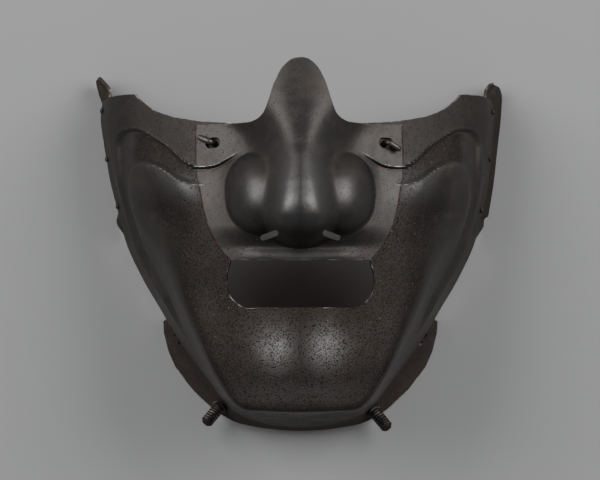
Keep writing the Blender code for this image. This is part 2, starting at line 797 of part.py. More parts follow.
def nose_point(across, down):
    """Gives a point of the nose piece: across from -1 to 1, down from its top edge to its lip."""
    lip = MOUTH_HEIGHT / 2
    half = through(
        [row.half_width for row in NOSE_SEAMS], place_in([row.down for row in NOSE_SEAMS], down)
    )
    x = across * half * NOSE_FLANGE_HALF_WIDTH
    share = through(
        [row.up for row in NOSE_TOP], place_in([row.across for row in NOSE_TOP], abs(across * half))
    )
    top = NOSE_FLANGE_RISE + share * (NOSE_RISE - NOSE_FLANGE_RISE)
    y = top + (lip - top) * down
    return pushed(Vector((x, y, seat_height(x, y) + nose_height(x, y))))


def pin_frame(side):
    """Gives where a turning pin's axis leaves the face plate, and the directions of axis and arm."""
    sign = 1.0 if side == "right" else -1.0
    x = sign * PIN_SPREAD
    along_x, along_y = seat_slope(x, PIN_RISE)
    axis = Vector((-along_x, -along_y, 1.0)).normalized()
    base = pushed(Vector((x, PIN_RISE, face_height(x, PIN_RISE)))) + axis * relief(x, PIN_RISE)
    turn = math.radians(PIN_TURNS[side])
    return base, axis, Vector((math.cos(turn), math.sin(turn), 0.0))


def build_nose_piece(collection, cutters, material):
    """Builds the detachable nose with its flanges and lip, its nostrils and its two slots."""
    spread = [-across for across in reversed(NOSE_COLUMNS[1:])] + list(NOSE_COLUMNS)
    grid = [[nose_point(across, down) for across in spread] for down in NOSE_ROWS]
    mesh = sheet_mesh("nose_piece", grid)
    item = add_object("nose_piece", mesh, material, collection)
    add_wall(item, NOSE_WALL)
    for side, sign in (("left", -1.0), ("right", 1.0)):
        x = sign * NOSTRIL_SPREAD
        height = seat_height(x, NOSTRIL_RISE) + nose_height(x, NOSTRIL_RISE)
        rod = rod_mesh("nostril_" + side, NOSTRIL_LENGTH, NOSTRIL_DEPTH, NOSTRIL_WIDTH - NOSTRIL_LENGTH)
        cutter = add_cutter("nostril_" + side, rod, cutters)
        across = Vector((1.0, -sign * NOSTRIL_SLANT, 0.0))
        cutter.matrix_world = axis_frame(Vector((x, NOSTRIL_RISE, height)), Vector((0.0, 0.0, 1.0)), across)
        add_cut(item, cutter)
        base, axis = pin_frame(side)[:2]
        rod = rod_mesh("slot_" + side, SLOT_WIDTH, NOSE_WALL * 4, SLOT_LENGTH - SLOT_WIDTH)
        cutter = add_cutter("slot_" + side, rod, cutters)
        middle = base + axis * (SEAT_GAP + NOSE_WALL / 2)
        cutter.matrix_world = axis_frame(middle, axis, Vector((1.0, 0.0, 0.0)))
        add_cut(item, cutter)
    return item


def build_turn_pin(side, collection, material):
    """Builds one turning pin: a foot behind the face plate, a shank through it and a bent arm."""
    base, axis, arm = pin_frame(side)
    shank_foot = -WALL - GAP
    arm_level = SEAT_GAP + NOSE_WALL + PIN_HEAD_LIFT + PIN_DIAMETER / 2
    foot = PIN_FOOT_DIAMETER / PIN_DIAMETER
    route = [
        (0.0, shank_foot - PIN_FOOT_HEIGHT, foot),
        (0.0, shank_foot, foot),
        (0.0, shank_foot + 0.02 * MM, 1.0),
        (0.0, arm_level - PIN_BEND, 1.0),
    ]
    for step in range(1, 4):
        turn = math.radians(22.5 * step)
        across = PIN_BEND * (1.0 - math.cos(turn))
        level = arm_level - PIN_BEND * (1.0 - math.sin(turn))
        route.append((across, level, 1.0))
    route += [(PIN_BEND, arm_level, 1.0), (PIN_ARM - PIN_DIAMETER / 4, arm_level, 0.98)]
    route.append((PIN_ARM, arm_level - 0.1 * MM, 0.62))
    curve = bpy.data.curves.new("turn_pin_" + side, "CURVE")
    curve.dimensions = "3D"
    curve.bevel_depth = PIN_DIAMETER / 2
    curve.bevel_resolution = 3
    curve.use_fill_caps = True
    spline = curve.splines.new("POLY")
    spline.points.add(len(route) - 1)
    for point, (across, level, radius) in zip(spline.points, route):
        point.co = (across, 0.0, level, 1.0)
        point.radius = radius
    item = bpy.data.objects.new("turn_pin_" + side, curve)
    curve.materials.append(material)
    collection.objects.link(item)
    item.matrix_world = axis_frame(base, axis, arm)
    return item


def bore_face_plate(item, cutters):
    """Bores the face plate for the shanks of the two turning pins."""
    for side in ("left", "right"):
        base, axis, arm = pin_frame(side)
        rod = rod_mesh("pin_bore_" + side, PIN_DIAMETER + 2 * PIN_CLEARANCE, WALL * 4)
        cutter = add_cutter("pin_bore_" + side, rod, cutters)
        cutter.matrix_world = axis_frame(base - axis * WALL / 2, axis, arm)
        add_cut(item, cutter)


def rear_line(place):
    """Gives the rear edge at a place, the way up the wall there and the wall's outward normal."""
    rear = face_surface(place, 3.0)
    up = (face_surface(place, 2.6) - rear).normalized()
    return rear, up, face_normal(place, 2.98)


def flange_point(place, share):
    """Gives a point of the throat flange's outer surface.

    A share from 0 to 1 lies inside the jaw's wall, and one from 1 to 2 in the flare behind it.
    """
    rear, up, outward = rear_line(place)
    start = rear - outward * (WALL + GAP)
    if share <= 1.0:
        return start + up * FLANGE_LAP * (1.0 - share)
    keys = [row.place for row in FLANGE]
    flare = through([row.flare for row in FLANGE], place_in(keys, place)) * FLANGE_FLARE
    depth = through([row.lift for row in FLANGE], place_in(keys, place)) * FLANGE_LIFT
    level = Vector((outward.x, outward.y, 0.0)).normalized()
    end = Vector((rear.x, rear.y, 0.0)) + level * flare
    end.z = depth
    bend = start - up * (start.z - depth) * FLANGE_BEND
    part = share - 1.0
    return start.lerp(bend, part).lerp(bend.lerp(end, part), part)


def flange_normal(place, share):
    """Gives the outward normal of the throat flange on the right-hand half."""
    along = flange_point(place + 0.02, share) - flange_point(place - 0.02, share)
    down = flange_point(place, share + 0.02) - flange_point(place, share - 0.02)
    return along.cross(down).normalized()


def peg_frame(side):
    """Gives where a cord peg stands on the throat flange, its direction and its tilt off the flange."""
    base = flange_point(PEG_PLACE[side], PEG_ON_FLANGE + 1.0)
    heading = math.radians(PEG_HEADING)
    lift = math.radians(PEG_LIFT)
    level = math.cos(lift)
    axis = Vector((math.cos(heading) * level, -math.sin(heading) * level, math.sin(lift)))
    tilt = axis.angle(flange_normal(PEG_PLACE[side], PEG_ON_FLANGE + 1.0))
    return pushed(mirrored(base, side)), mirrored(axis, side), tilt


def lace_holes():
    """Gives the places on the flange of the three lacing holes at one end."""
    places = []
    place = FLANGE[0].place
    walked = 0.0
    target = LACE_START
    while len(places) < LACE_COUNT:
        step = 0.02
        ahead = flange_point(place + step, 1.0 + LACE_ON_FLANGE)
        walked += (ahead - flange_point(place, 1.0 + LACE_ON_FLANGE)).length
        place += step
        if walked >= target:
            places.append(place)
            target += LACE_PITCH
    return places


def build_throat_flange(collection, cutters, floor, material):
    """Builds the flared strip behind the jaw, with its lacing holes and the bores of the pegs."""
    first = FLANGE[0].place
    places = [first] + [place for place in column_places() if place > first]
    lap = [index / FLANGE_LAP_ROWS for index in range(FLANGE_LAP_ROWS)]
    flare = [1.0 + index / FLANGE_ROWS for index in range(FLANGE_ROWS + 1)]
    grid = []
    for share in lap + flare:
        points = [flange_point(place, share) for place in places]
        points[-1].x = 0.0
        left = [mirrored(point, "left") for point in points]
        grid.append([pushed(point) for point in left + points[-2::-1]])
    mesh = sheet_mesh("throat_flange", grid)
    item = add_object("throat_flange", mesh, material, collection)
    add_wall(item, FLANGE_WALL)
    for side in ("left", "right"):
        for number, place in enumerate(lace_holes(), start=1):
            name = f"lace_hole_{side}_{number}"
            rod = rod_mesh(name, LACE_HOLE, FLANGE_WALL * 4)
            cutter = add_cutter(name, rod, cutters)
            centre = pushed(mirrored(flange_point(place, 1.0 + LACE_ON_FLANGE), side))
            axis = mirrored(flange_normal(place, 1.0 + LACE_ON_FLANGE), side)
            cutter.matrix_world = axis_frame(centre, axis)
            add_cut(item, cutter)
        base, axis = peg_frame(side)[:2]
        rod = rod_mesh("peg_bore_" + side, PEG_SHANK + 2 * GAP, FLANGE_WALL * 4)
        cutter = add_cutter("peg_bore_" + side, rod, cutters)
        cutter.matrix_world = axis_frame(base, axis)
        add_cut(item, cutter)
    add_cut(item, floor)
    return item


def turned_object(name, profile, material, collection):
    """Turns a profile of radii and heights about Z, given from its top on the axis to its bottom."""
    line = bmesh.new()
    points = [line.verts.new((radius, 0.0, height)) for radius, height in profile]
    for first, second in zip(points, points[1:]):
        line.edges.new((first, second))
    mesh = bpy.data.meshes.new(name)
    line.to_mesh(mesh)
    line.free()
    item = add_object(name, mesh, material, collection, smooth=False)
    screw = item.modifiers.new("turn", "SCREW")
    screw.axis = "Z"
    screw.steps = TURNED_SIDES
    screw.render_steps = TURNED_SIDES
    screw.use_merge_vertices = True
    screw.merge_threshold = 0.00002
    screw.use_smooth_shade = True
    return item


def build_cord_peg(side, collection, material):
    """Builds one ribbed peg with its collar, and the shank and foot that hold it in the flange."""
    base, axis, tilt = peg_frame(side)
    seat = PEG_SEAT + PEG_COLLAR / 2 * math.tan(tilt)
    radius = PEG_DIAMETER / 2
    pitch = (PEG_LENGTH - PEG_COLLAR_HEIGHT) / (PEG_RIBS + 0.5)
    profile = [(0.0, PEG_LENGTH), (radius * PEG_TIP_WIDTH, PEG_LENGTH - pitch * PEG_TIP_DROP)]
    for rib in range(PEG_RIBS, 0, -1):
        top = PEG_COLLAR_HEIGHT + pitch * rib
        profile += [(radius - PEG_GROOVE * row.groove, top - pitch * row.down) for row in PEG_RIB]
    profile.append((PEG_COLLAR / 2, PEG_COLLAR_HEIGHT))
    profile.append((PEG_COLLAR / 2, 0.0))
    profile.append((PEG_SHANK / 2, 0.0))
    foot = -seat - FLANGE_WALL / math.cos(tilt) - PEG_FOOT / 2 * math.tan(tilt) - GAP
    profile.append((PEG_SHANK / 2, foot))
    profile.append((PEG_FOOT / 2, foot))
    profile.append((PEG_FOOT / 2, foot - PEG_FOOT_HEIGHT))
    profile.append((0.0, foot - PEG_FOOT_HEIGHT))
    item = turned_object("cord_peg_" + side, profile, material, collection)
    item.matrix_world = axis_frame(base + axis * seat, axis)
    return item


def rear_place(height):
    """Finds the section place whose rear edge lies at a height on the cheek."""
    low = 0.0
    high = 8.0
    while high - low > 0.0005:
        middle = (low + high) / 2
        if face_point(middle, 3.0).y > height:
            low = middle
        else:
            high = middle
    return low


def guard_point(side, height, depth, knee):
    """Gives a point of a cord guard's outer surface at a height on the cheek and a depth.

    Above the knee's depth the guard lies along the cheek's inside, and below it bends away.
    """
    rear, up, outward = rear_line(rear_place(height))
    inset = (WALL + GAP) / math.hypot(outward.x, outward.z)
    x = rear.x - up.x / up.z * (rear.z - depth) - inset
    past = max(knee - depth, 0.0)
    x += GUARD_SPLAY[side] * (past / rear.z) ** GUARD_SPLAY_CURVE
    free = smooth_step(0.0, GUARD_BEND, past)
    corner = CHEEK_RISE * SECTIONS[0].rear_up
    top = GUARD_TOP[side]
    tip = smooth_step(corner - GUARD_TIP_BEND, top, height) * free
    tip = max(tip, smooth_step(corner + GUARD_TIP_CLEAR, top + GUARD_TIP_CLEAR, height))
    tail = smooth_step(top - GUARD_TAB + GUARD_TAIL_BEND, top - GUARD_LENGTH, height) * free
    x += max(GUARD_TIP_FLARE[side] * tip, GUARD_TAIL_FLARE[side] * tail)
    return pushed(mirrored(Vector((x, height, depth)), side))


def guard_rows():
    """Gives how far down the guard each row of its grid lies, closer together at both ends."""
    rows = []
    for index in range(GUARD_ROWS + 1):
        share = index / GUARD_ROWS
        eased = 0.5 - 0.5 * math.cos(math.pi * share)
        rows.append((eased + (share - eased) * GUARD_EVENNESS) * GUARD_LENGTH)
    return rows


def guard_depths(side, walked):
    """Gives a cord guard's lowest and highest depth, so far down from its tip."""
    lap_front = SECTIONS[2].rear_depth * FACE_DEPTH + GUARD_LAP
    tail_front = SECTIONS[4].rear_depth * FACE_DEPTH - GUARD_TAIL_DROP
    front = tail_front + (lap_front - tail_front) * smooth_step(0.0, GUARD_STEP, GUARD_TAB - walked)
    upper = walked < GUARD_LENGTH / 2
    end = GUARD_TIP_LENGTH if upper else GUARD_TAIL_LENGTH
    from_end = min(min(walked, GUARD_LENGTH - walked) / end, 1.0)
    opening = math.sqrt(1.0 - (1.0 - from_end) ** 2) if upper else from_end
    opening = opening * (1.0 - GUARD_END_SHARE) + GUARD_END_SHARE
    middle = GUARD_TIP_DEPTH if upper else tail_front * GUARD_TAIL_MIDDLE[side]
    return middle + (-GUARD_FOOT - middle) * opening, middle + (front - middle) * opening


def build_cord_guard(side, collection, floor, material):
    """Builds one leaf-shaped cord guard, riveted inside the rear edge of a cheek."""
    grid = []
    for walked in guard_rows():
        height = GUARD_TOP[side] - walked
        low, high = guard_depths(side, walked)
        knee = rear_line(rear_place(height))[0].z - GUARD_KNEE
        knee = min(knee, low + (high - low) * GUARD_KNEE_LIMIT)
        row = [low + (knee - low) * step / GUARD_STRIPS for step in range(GUARD_STRIPS)]
        row += [knee + (high - knee) * step / GUARD_STRIPS for step in range(GUARD_STRIPS + 1)]
        points = [guard_point(side, height, depth, knee) for depth in row]
        grid.append(points if side == "left" else points[::-1])
    mesh = sheet_mesh("cord_guard_" + side, grid)
    item = add_object("cord_guard_" + side, mesh, material, collection)
    add_wall(item, GUARD_WALL)
    for number in range(1, len(RIVET_SHARES[side]) + 1):
        add_cut(item, bpy.data.objects[f"rivet_bore_{side}_{number}"])
    add_cut(item, floor)
    return item


def rivet_frame(side, share):
    """Gives where a rivet stands on the outside of the cheek's border, and its direction."""
    rear, up, outward = rear_line(rear_place(share * CHEEK_RISE))
    return pushed(mirrored(rear + up * RIVET_INSET, side)), mirrored(outward, side)


def bore_rivets(face_plate, cutters):
    """Makes the rivets' bores, which cut the face plate and later the guards."""
    for side in ("left", "right"):
        for number, share in enumerate(RIVET_SHARES[side], start=1):
            name = f"rivet_bore_{side}_{number}"
            rod = rod_mesh(name, RIVET_SHANK + 2 * RIVET_CLEARANCE, (WALL + GUARD_WALL) * 4, 0.0, 8)
            cutter = add_cutter(name, rod, cutters)
            base, axis = rivet_frame(side, share)
            cutter.matrix_world = axis_frame(base, axis)
            add_cut(face_plate, cutter)


def build_rivet(side, number, collection, material):
    """Builds one rivet: a round head outside, a shank and a small foot inside the guard."""
    radius = RIVET_HEAD / 2
    foot = -WALL - GUARD_WALL - 3 * GAP
    end = foot - RIVET_HEAD_HEIGHT * RIVET_FOOT_HEIGHT
    profile = [(radius * row.across, RIVET_HEAD_HEIGHT * row.up) for row in RIVET_DOME]
    profile += [(RIVET_SHANK / 2, 0.0), (RIVET_SHANK / 2, foot)]
    profile += [(radius * RIVET_FOOT_WIDTH, foot), (radius * RIVET_FOOT_WIDTH, end), (0.0, end)]
    item = turned_object(f"guard_rivet_{side}_{number}", profile, material, collection)
    base, axis = rivet_frame(side, RIVET_SHARES[side][number - 1])
    item.matrix_world = axis_frame(base + axis * GAP, axis)
    return item


def build_floor(cutters):
    """Builds the block under the mask that trims its resting edges flat."""
    block = bmesh.new()
    bmesh.ops.create_cube(block, size=1.0)
    size = 4 * FACE_HALF_WIDTH
    bmesh.ops.scale(block, vec=(size, size, FACE_DEPTH), verts=block.verts)
    bmesh.ops.translate(block, vec=(0.0, 0.0, -FACE_DEPTH / 2), verts=block.verts)
    mesh = bpy.data.meshes.new("floor")
    block.to_mesh(mesh)
    block.free()
    return add_cutter("floor", mesh, cutters)


def stand_on_origin(parts, cutters):
    """Parents everything to an empty that puts the bottom centre of the mask's box at the origin."""
    bpy.context.view_layer.update()
    graph = bpy.context.evaluated_depsgraph_get()
    corners = []
    for item in parts.objects:
        shown = item.evaluated_get(graph)
        corners += [item.matrix_world @ vertex.co for vertex in shown.to_mesh().vertices]
        shown.to_mesh_clear()
    lows = [min(corner[axis] for corner in corners) for axis in range(3)]
    highs = [max(corner[axis] for corner in corners) for axis in range(3)]
    stand = bpy.data.objects.new("stand", None)
    parts.objects.link(stand)
    for item in list(parts.objects) + list(cutters.objects):
        if item is not stand:
            item.parent = stand
    stand.location = (-(lows[0] + highs[0]) / 2, -(lows[1] + highs[1]) / 2, -lows[2])


def build():
    """Builds the face guard."""
    clear_scene()
    parts = new_collection("face_guard")
    cutters = new_collection("cutters")
    cutters.hide_render = True
    worn = new_material(WORN_IRON)
    guard_iron = new_material(GUARD_IRON)
    peg_iron = new_material(PEG_IRON)
    floor = build_floor(cutters)
    face_plate = build_face_plate(parts, new_material(IRON))
    bore_face_plate(face_plate, cutters)
    bore_rivets(face_plate, cutters)
    build_nose_piece(parts, cutters, new_material(NOSE_IRON))
    build_throat_flange(parts, cutters, floor, new_material(FLANGE_IRON))
    for side in ("left", "right"):
        build_turn_pin(side, parts, worn)
        build_cord_peg(side, parts, peg_iron)
        build_cord_guard(side, parts, floor, guard_iron)
        for number in range(1, len(RIVET_SHARES[side]) + 1):
            build_rivet(side, number, parts, guard_iron)
    stand_on_origin(parts, cutters)


build()
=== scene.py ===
"""Looks of a samurai face guard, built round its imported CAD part.

The guard lies face up on a pale floor. Its iron sheets are modelled again here with a fine grid, from
the same sizes as the part's source, and dressed in russet iron with a red lacquered inside. Lengths
are in metres. The form is worked out with the middle of the mouth at X = Y = 0 and then put where
the frame has it.
"""

import logging
import math
from dataclasses import dataclass, field
from enum import Enum
from typing import NamedTuple

import bmesh
import bpy
import numpy as np
from mathutils import Matrix, Vector, noise


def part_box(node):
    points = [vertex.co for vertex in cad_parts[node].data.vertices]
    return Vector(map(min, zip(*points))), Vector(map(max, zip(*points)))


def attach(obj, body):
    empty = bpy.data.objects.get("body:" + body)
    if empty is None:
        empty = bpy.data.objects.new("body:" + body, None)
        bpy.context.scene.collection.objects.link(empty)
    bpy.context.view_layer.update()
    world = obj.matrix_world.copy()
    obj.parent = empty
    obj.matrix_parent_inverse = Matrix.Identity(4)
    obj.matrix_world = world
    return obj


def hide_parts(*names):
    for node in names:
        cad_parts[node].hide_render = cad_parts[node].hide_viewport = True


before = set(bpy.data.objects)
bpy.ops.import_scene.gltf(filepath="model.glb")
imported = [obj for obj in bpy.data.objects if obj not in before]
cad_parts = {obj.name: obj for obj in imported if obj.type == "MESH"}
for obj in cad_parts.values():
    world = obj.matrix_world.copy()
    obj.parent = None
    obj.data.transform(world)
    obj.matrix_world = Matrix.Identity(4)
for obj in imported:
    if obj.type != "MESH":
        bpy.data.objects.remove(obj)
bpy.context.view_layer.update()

MM = 0.001
FAR = 1.0
LOG = logging.getLogger("face_guard")


class Side(Enum):
    """The two sides of the face, as the viewer sees them."""

    LEFT = "left"
    RIGHT = "right"

    @property
    def sign(self) -> float:
        """Tells the side's direction along X."""
        return -1.0 if self is Side.LEFT else 1.0


class Shell(Enum):
    """The material slots of a sheet: its outside, its inside and its cut edges."""

    OUTSIDE = 0
    INSIDE = 1
    EDGE = 2


# Form of the face


class Section(NamedTuple):
    """One section of the face plate, from the top of a cheek round the jaw to the chin."""

    inner_across: float
    inner_up: float
    fold_across: float
    fold_up: float
    rear_across: float
    rear_up: float
    rear_depth: float
    roundness: float


class Level(NamedTuple):
    """How far forward the face's middle stands at a height, and how far its sides fall."""

    up: float
    crown: float
    fall: float


class Point(NamedTuple):
    """A point of a line over the face, in shares of the half width and of the cheek's rise."""

    across: float
    up: float


SECTIONS = (
    Section(0.64, 2.000, 0.938, 0.971, 0.990, 0.970, 0.125, 0.50),
    Section(0.68, 1.894, 0.941, 0.868, 1.000, 0.872, 0.118, 0.50),
    Section(0.74, 1.789, 0.928, 0.741, 0.988, 0.737, 0.112, 0.50),
    Section(0.84, 1.573, 0.885, 0.522, 0.960, 0.522, 0.106, 0.50),
    Section(0.88, 1.358, 0.818, 0.386, 0.927, 0.369, 0.106, 0.50),
    Section(0.93, 1.157, 0.728, 0.242, 0.884, 0.200, 0.112, 0.48),
    Section(0.95, 0.960, 0.656, 0.078, 0.812, 0.037, 0.125, 0.42),
    Section(1.00, 0.240, 0.598, -0.153, 0.718, -0.201, 0.137, 0.36),
    Section(0.95, -0.520, 0.506, -0.424, 0.604, -0.499, 0.150, 0.28),
    Section(0.76, -1.000, 0.412, -0.736, 0.466, -0.795, 0.187, 0.18),
    Section(0.51, -1.000, 0.300, -0.964, 0.339, -1.036, 0.225, 0.07),
    Section(0.26, -1.000, 0.156, -0.992, 0.181, -1.134, 0.262, 0.04),
    Section(0.00, -1.000, 0.000, -1.000, 0.000, -1.164, 0.275, 0.04),
)
LEVELS = (
    Level(1.18, 0.820, 0.55),
    Level(0.87, 0.875, 0.55),
    Level(0.50, 0.940, 0.565),
    Level(0.12, 0.982, 0.60),
    Level(-0.19, 1.000, 0.62),
    Level(-0.57, 1.030, 0.70),
    Level(-0.86, 1.025, 0.76),
    Level(-1.00, 1.005, 0.78),
    Level(-1.25, 0.900, 0.78),
)
TOP_EDGE = (
    Point(0.000, 0.815),
    Point(0.300, 0.8165),
    Point(0.420, 0.8205),
    Point(0.508, 0.829),
    Point(0.605, 0.845),
    Point(0.690, 0.870),
    Point(0.743, 0.897),
    Point(0.800, 0.945),
    Point(0.842, 0.995),
    Point(0.895, 0.980),
    Point(0.960, 0.958),
    Point(1.000, 0.946),
)
RIDGE = (
    Point(0.300, 0.665),
    Point(0.353, 0.630),
    Point(0.421, 0.596),
    Point(0.512, 0.590),
    Point(0.575, 0.622),
    Point(0.625, 0.672),
    Point(0.675, 0.716),
    Point(0.765, 0.772),
    Point(0.828, 0.790),
    Point(0.880, 0.780),
    Point(0.906, 0.742),
    Point(0.914, 0.680),
    Point(0.902, 0.470),
    Point(0.852, 0.265),
    Point(0.795, 0.105),
    Point(0.712, -0.060),
    Point(0.690, -0.120),
)
ARCH = (
    Point(0.440, 0.520),
    Point(0.505, 0.512),
    Point(0.584, 0.533),
    Point(0.647, 0.574),
    Point(0.702, 0.608),
    Point(0.755, 0.622),
    Point(0.805, 0.618),
    Point(0.845, 0.590),
    Point(0.864, 0.530),
    Point(0.866, 0.455),
    Point(0.858, 0.380),
    Point(0.838, 0.290),
    Point(0.810, 0.195),
    Point(0.775, 0.090),
)


class Dent(NamedTuple):
    """A rounded place of the cheek that is beaten out or in, in shares: its middle and its reach."""

    across: float
    up: float
    half_width: float
    half_length: float

    def weight(self, across: np.ndarray, up: np.ndarray) -> np.ndarray:
        """Gives how strongly points lie in it, from 1 in its middle to 0."""
        away = ((across - self.across) / self.half_width) ** 2
        return np.exp(-away - ((up - self.up) / self.half_length) ** 2)


CHEEK_BONE = Dent(0.575, 0.475, 0.110, 0.100)
CHEEK_HOLLOW = Dent(0.670, 0.330, 0.110, 0.150)
# where painted shade darkens the cheek hollow under the cheekbone
PAINTED_SHADE_HOLLOW = Dent(0.670, 0.330, 0.120, 0.140)


def ease(low: float, high: float, value: np.ndarray) -> np.ndarray:
    """Eases from 0 at low to 1 at high."""
    share = np.clip((value - low) / (high - low), 0.0, 1.0)
    return share * share * (3.0 - 2.0 * share)


def through(values: list[float], place: np.ndarray) -> np.ndarray:
    """Reads a smooth curve through evenly placed values.

    Args:
        values: The values that the curve goes through.
        place: Where it is read, counted in values.

    Returns:
        The curve's values at those places.
    """
    row = np.asarray(values, dtype=float)
    place = np.asarray(place, dtype=float)
    last = len(row) - 1
    start = np.clip(np.floor(place).astype(int), 0, last - 1)
    part = place - start
    first = row[start]
    second = row[start + 1]
    slope_first = (second - row[np.maximum(start - 1, 0)]) * 0.5
    slope_second = (row[np.minimum(start + 2, last)] - first) * 0.5
    square = part * part
    cube = square * part
    return (
        first * (2 * cube - 3 * square + 1)
        + slope_first * (cube - 2 * square + part)
        + second * (3 * square - 2 * cube)
        + slope_second * (cube - square)
    )


def place_in(keys: list[float], value: np.ndarray) -> np.ndarray:
    """Finds where values lie among rising keys, counted in keys."""
    return np.interp(value, keys, np.arange(len(keys)))


def lengths(vectors: np.ndarray) -> np.ndarray:
    """Gives the lengths of an array of vectors."""
    return np.sqrt((vectors * vectors).sum(axis=-1))


def unit(vectors: np.ndarray) -> np.ndarray:
    """Gives an array of vectors the length 1."""
    return vectors / np.maximum(lengths(vectors), 1e-12)[..., None]


def mix(first: np.ndarray, second: np.ndarray, share: np.ndarray) -> np.ndarray:
    """Goes a share of the way from one array of points to another."""
    return first + (second - first) * np.asarray(share)[..., None]


def walked(points: np.ndarray, axis: int) -> np.ndarray:
    """Gives the length walked along one direction of a grid of points.

    Args:
        points: The grid's points.
        axis: The direction, 0 down the rows or 1 along them.

    Returns:
        The length at each point, 0 at the first.
    """
    steps = lengths(np.diff(points, axis=axis))
    total = np.cumsum(steps, axis=axis)
    first = np.zeros_like(np.take(total, [0], axis=axis))
    return np.concatenate([first, total], axis=axis)


@dataclass(frozen=True)
class FaceForm:
    """Smooth form and hammered relief that every sheet of the guard follows.

    The methods work on the right-hand half of the face, in arrays.
    """

    half_width: float = 83.2 * MM
    cheek_rise: float = 80.3 * MM
    rim_rise: float = 66.5 * MM
    chin_drop: float = 52.3 * MM
    depth: float = 80.0 * MM
    flatness: float = 2.2
    mouth_width: float = 60.4 * MM
    mouth_height: float = 19.3 * MM
    skew: float = 1.3 * MM
    chin_swell: float = 4.6 * MM
    chin_half_width: float = 15.0 * MM
    chin_half_length: float = 25.0 * MM
    chin_middle: float = -31.0 * MM
    ridge_step: float = 1.9 * MM
    ridge_edge: float = 1.3 * MM
    ridge_fade: float = 15.0 * MM
    arch_swell: float = 1.5 * MM
    arch_edge: float = 2.2 * MM
    arch_fade: float = 8.0 * MM
    bone_swell: float = 2.2 * MM
    hollow_depth: float = 2.4 * MM
    jaw_step: float = 0.8 * MM
    jaw_edge: float = 0.9 * MM
    jaw_fade: float = 12.0 * MM
    jaw_row: float = 1.45
    jaw_start: tuple[float, float] = (4.9, 6.0)
    jaw_end: tuple[float, float] = (8.6, 9.7)
    top_reach: float = 3.0
    top_curve: float = 1.5
    skew_low: float = 0.25
    skew_high: float = 0.90

    def rise(self, share: float) -> float:
        """Turns a share into a height above the mouth's middle, or below it where negative."""
        return share * (self.cheek_rise if share >= 0.0 else self.chin_drop)

    def height(self, x: np.ndarray, y: np.ndarray) -> np.ndarray:
        """Gives how far forward the smooth face stands."""
        place = place_in([-self.rise(level.up) for level in LEVELS], -y)
        crown = through([level.crown for level in LEVELS], place)
        fall = through([level.fall for level in LEVELS], place)
        chin = (x / self.chin_half_width) ** 2 + ((y - self.chin_middle) / self.chin_half_length) ** 2
        smooth = self.depth * (crown - fall * np.abs(x / self.half_width) ** self.flatness)
        return smooth + self.chin_swell * np.exp(-chin)

    def line(self, rows: tuple[Point, ...]) -> np.ndarray:
        """Gives a smooth line through a table's points."""
        place = np.linspace(0.0, len(rows) - 1.0, 6 * len(rows))
        across = through([row.across for row in rows], place) * self.half_width
        up = through([self.rise(row.up) for row in rows], place)
        return np.stack([across, up], axis=-1)

    def inside(self, rows: tuple[Point, ...], x: np.ndarray, y: np.ndarray) -> np.ndarray:
        """Gives the distance to a line over the face.

        Args:
            rows: The line's table.
            x: How far the points lie from the face's middle.
            y: How high they lie.

        Returns:
            The distances, positive inside the line and negative outside it.
        """
        line = self.line(rows)
        away = np.full(np.shape(x), FAR)
        side = np.ones(np.shape(x))
        for first, second in zip(line, line[1:]):
            along = second - first
            share = ((x - first[0]) * along[0] + (y - first[1]) * along[1]) / (along @ along)
            share = np.clip(share, 0.0, 1.0)
            gap_x = x - first[0] - along[0] * share
            gap_y = y - first[1] - along[1] * share
            here = np.hypot(gap_x, gap_y)
            turn = along[0] * (y - first[1]) - along[1] * (x - first[0])
            side = np.where(here < away, np.where(turn > 0.0, -1.0, 1.0), side)
            away = np.minimum(here, away)
        return away * side

    def relief(self, x: np.ndarray, y: np.ndarray) -> np.ndarray:
        """Gives the height of the hammered cheek over the smooth face."""
        x = np.abs(x)
        across = x / self.half_width
        up = y / self.cheek_rise
        ridge = self.inside(RIDGE, x, y)
        step = ease(-self.ridge_edge / 2, self.ridge_edge / 2, ridge)
        step = -self.ridge_step * step * np.exp(-((np.maximum(ridge, 0.0) / self.ridge_fade) ** 2))
        arch = self.inside(ARCH, x, y)
        swell = ease(-self.arch_edge / 2, self.arch_edge / 2, arch)
        swell = self.arch_swell * swell * np.exp(-((np.maximum(arch, 0.0) / self.arch_fade) ** 2))
        swell = swell * ease(0.46, 0.60, across) * ease(0.06, 0.30, up)
        bone = CHEEK_BONE.weight(across, up)
        hollow = CHEEK_HOLLOW.weight(across, up)
        ends = ease(0.28, 0.40, across)
        return step * ends + swell + self.bone_swell * bone - self.hollow_depth * hollow

    def section(self, place: np.ndarray) -> tuple[np.ndarray, np.ndarray, np.ndarray]:
        """Reads the table of sections.

        Args:
            place: Where round the plate, counted in sections.

        Returns:
            The inner edge, the fold and the rear edge of the face plate there.
        """
        half_mouth = self.mouth_height / 2
        rim = self.rim_rise - half_mouth
        ups = [row.inner_up for row in SECTIONS]
        inner_ups = [half_mouth * up if up <= 1.0 else half_mouth + (up - 1.0) * rim for up in ups]

        def read(values: list[float]) -> np.ndarray:
            """Reads a column of the table at the places."""
            return through(values, place)

        inner_x = read([row.inner_across for row in SECTIONS]) * self.mouth_width / 2
        inner = np.stack([inner_x, read(inner_ups)], axis=-1)
        fold_x = read([row.fold_across for row in SECTIONS]) * self.half_width
        fold_y = read([self.rise(row.fold_up) for row in SECTIONS])
        fold = np.stack([fold_x, fold_y, self.height(fold_x, fold_y)], axis=-1)
        rear_x = read([row.rear_across for row in SECTIONS]) * self.half_width
        rear_y = read([self.rise(row.rear_up) for row in SECTIONS])
        rear_z = read([row.rear_depth for row in SECTIONS]) * self.depth
        return inner, fold, np.stack([rear_x, rear_y, rear_z], axis=-1)

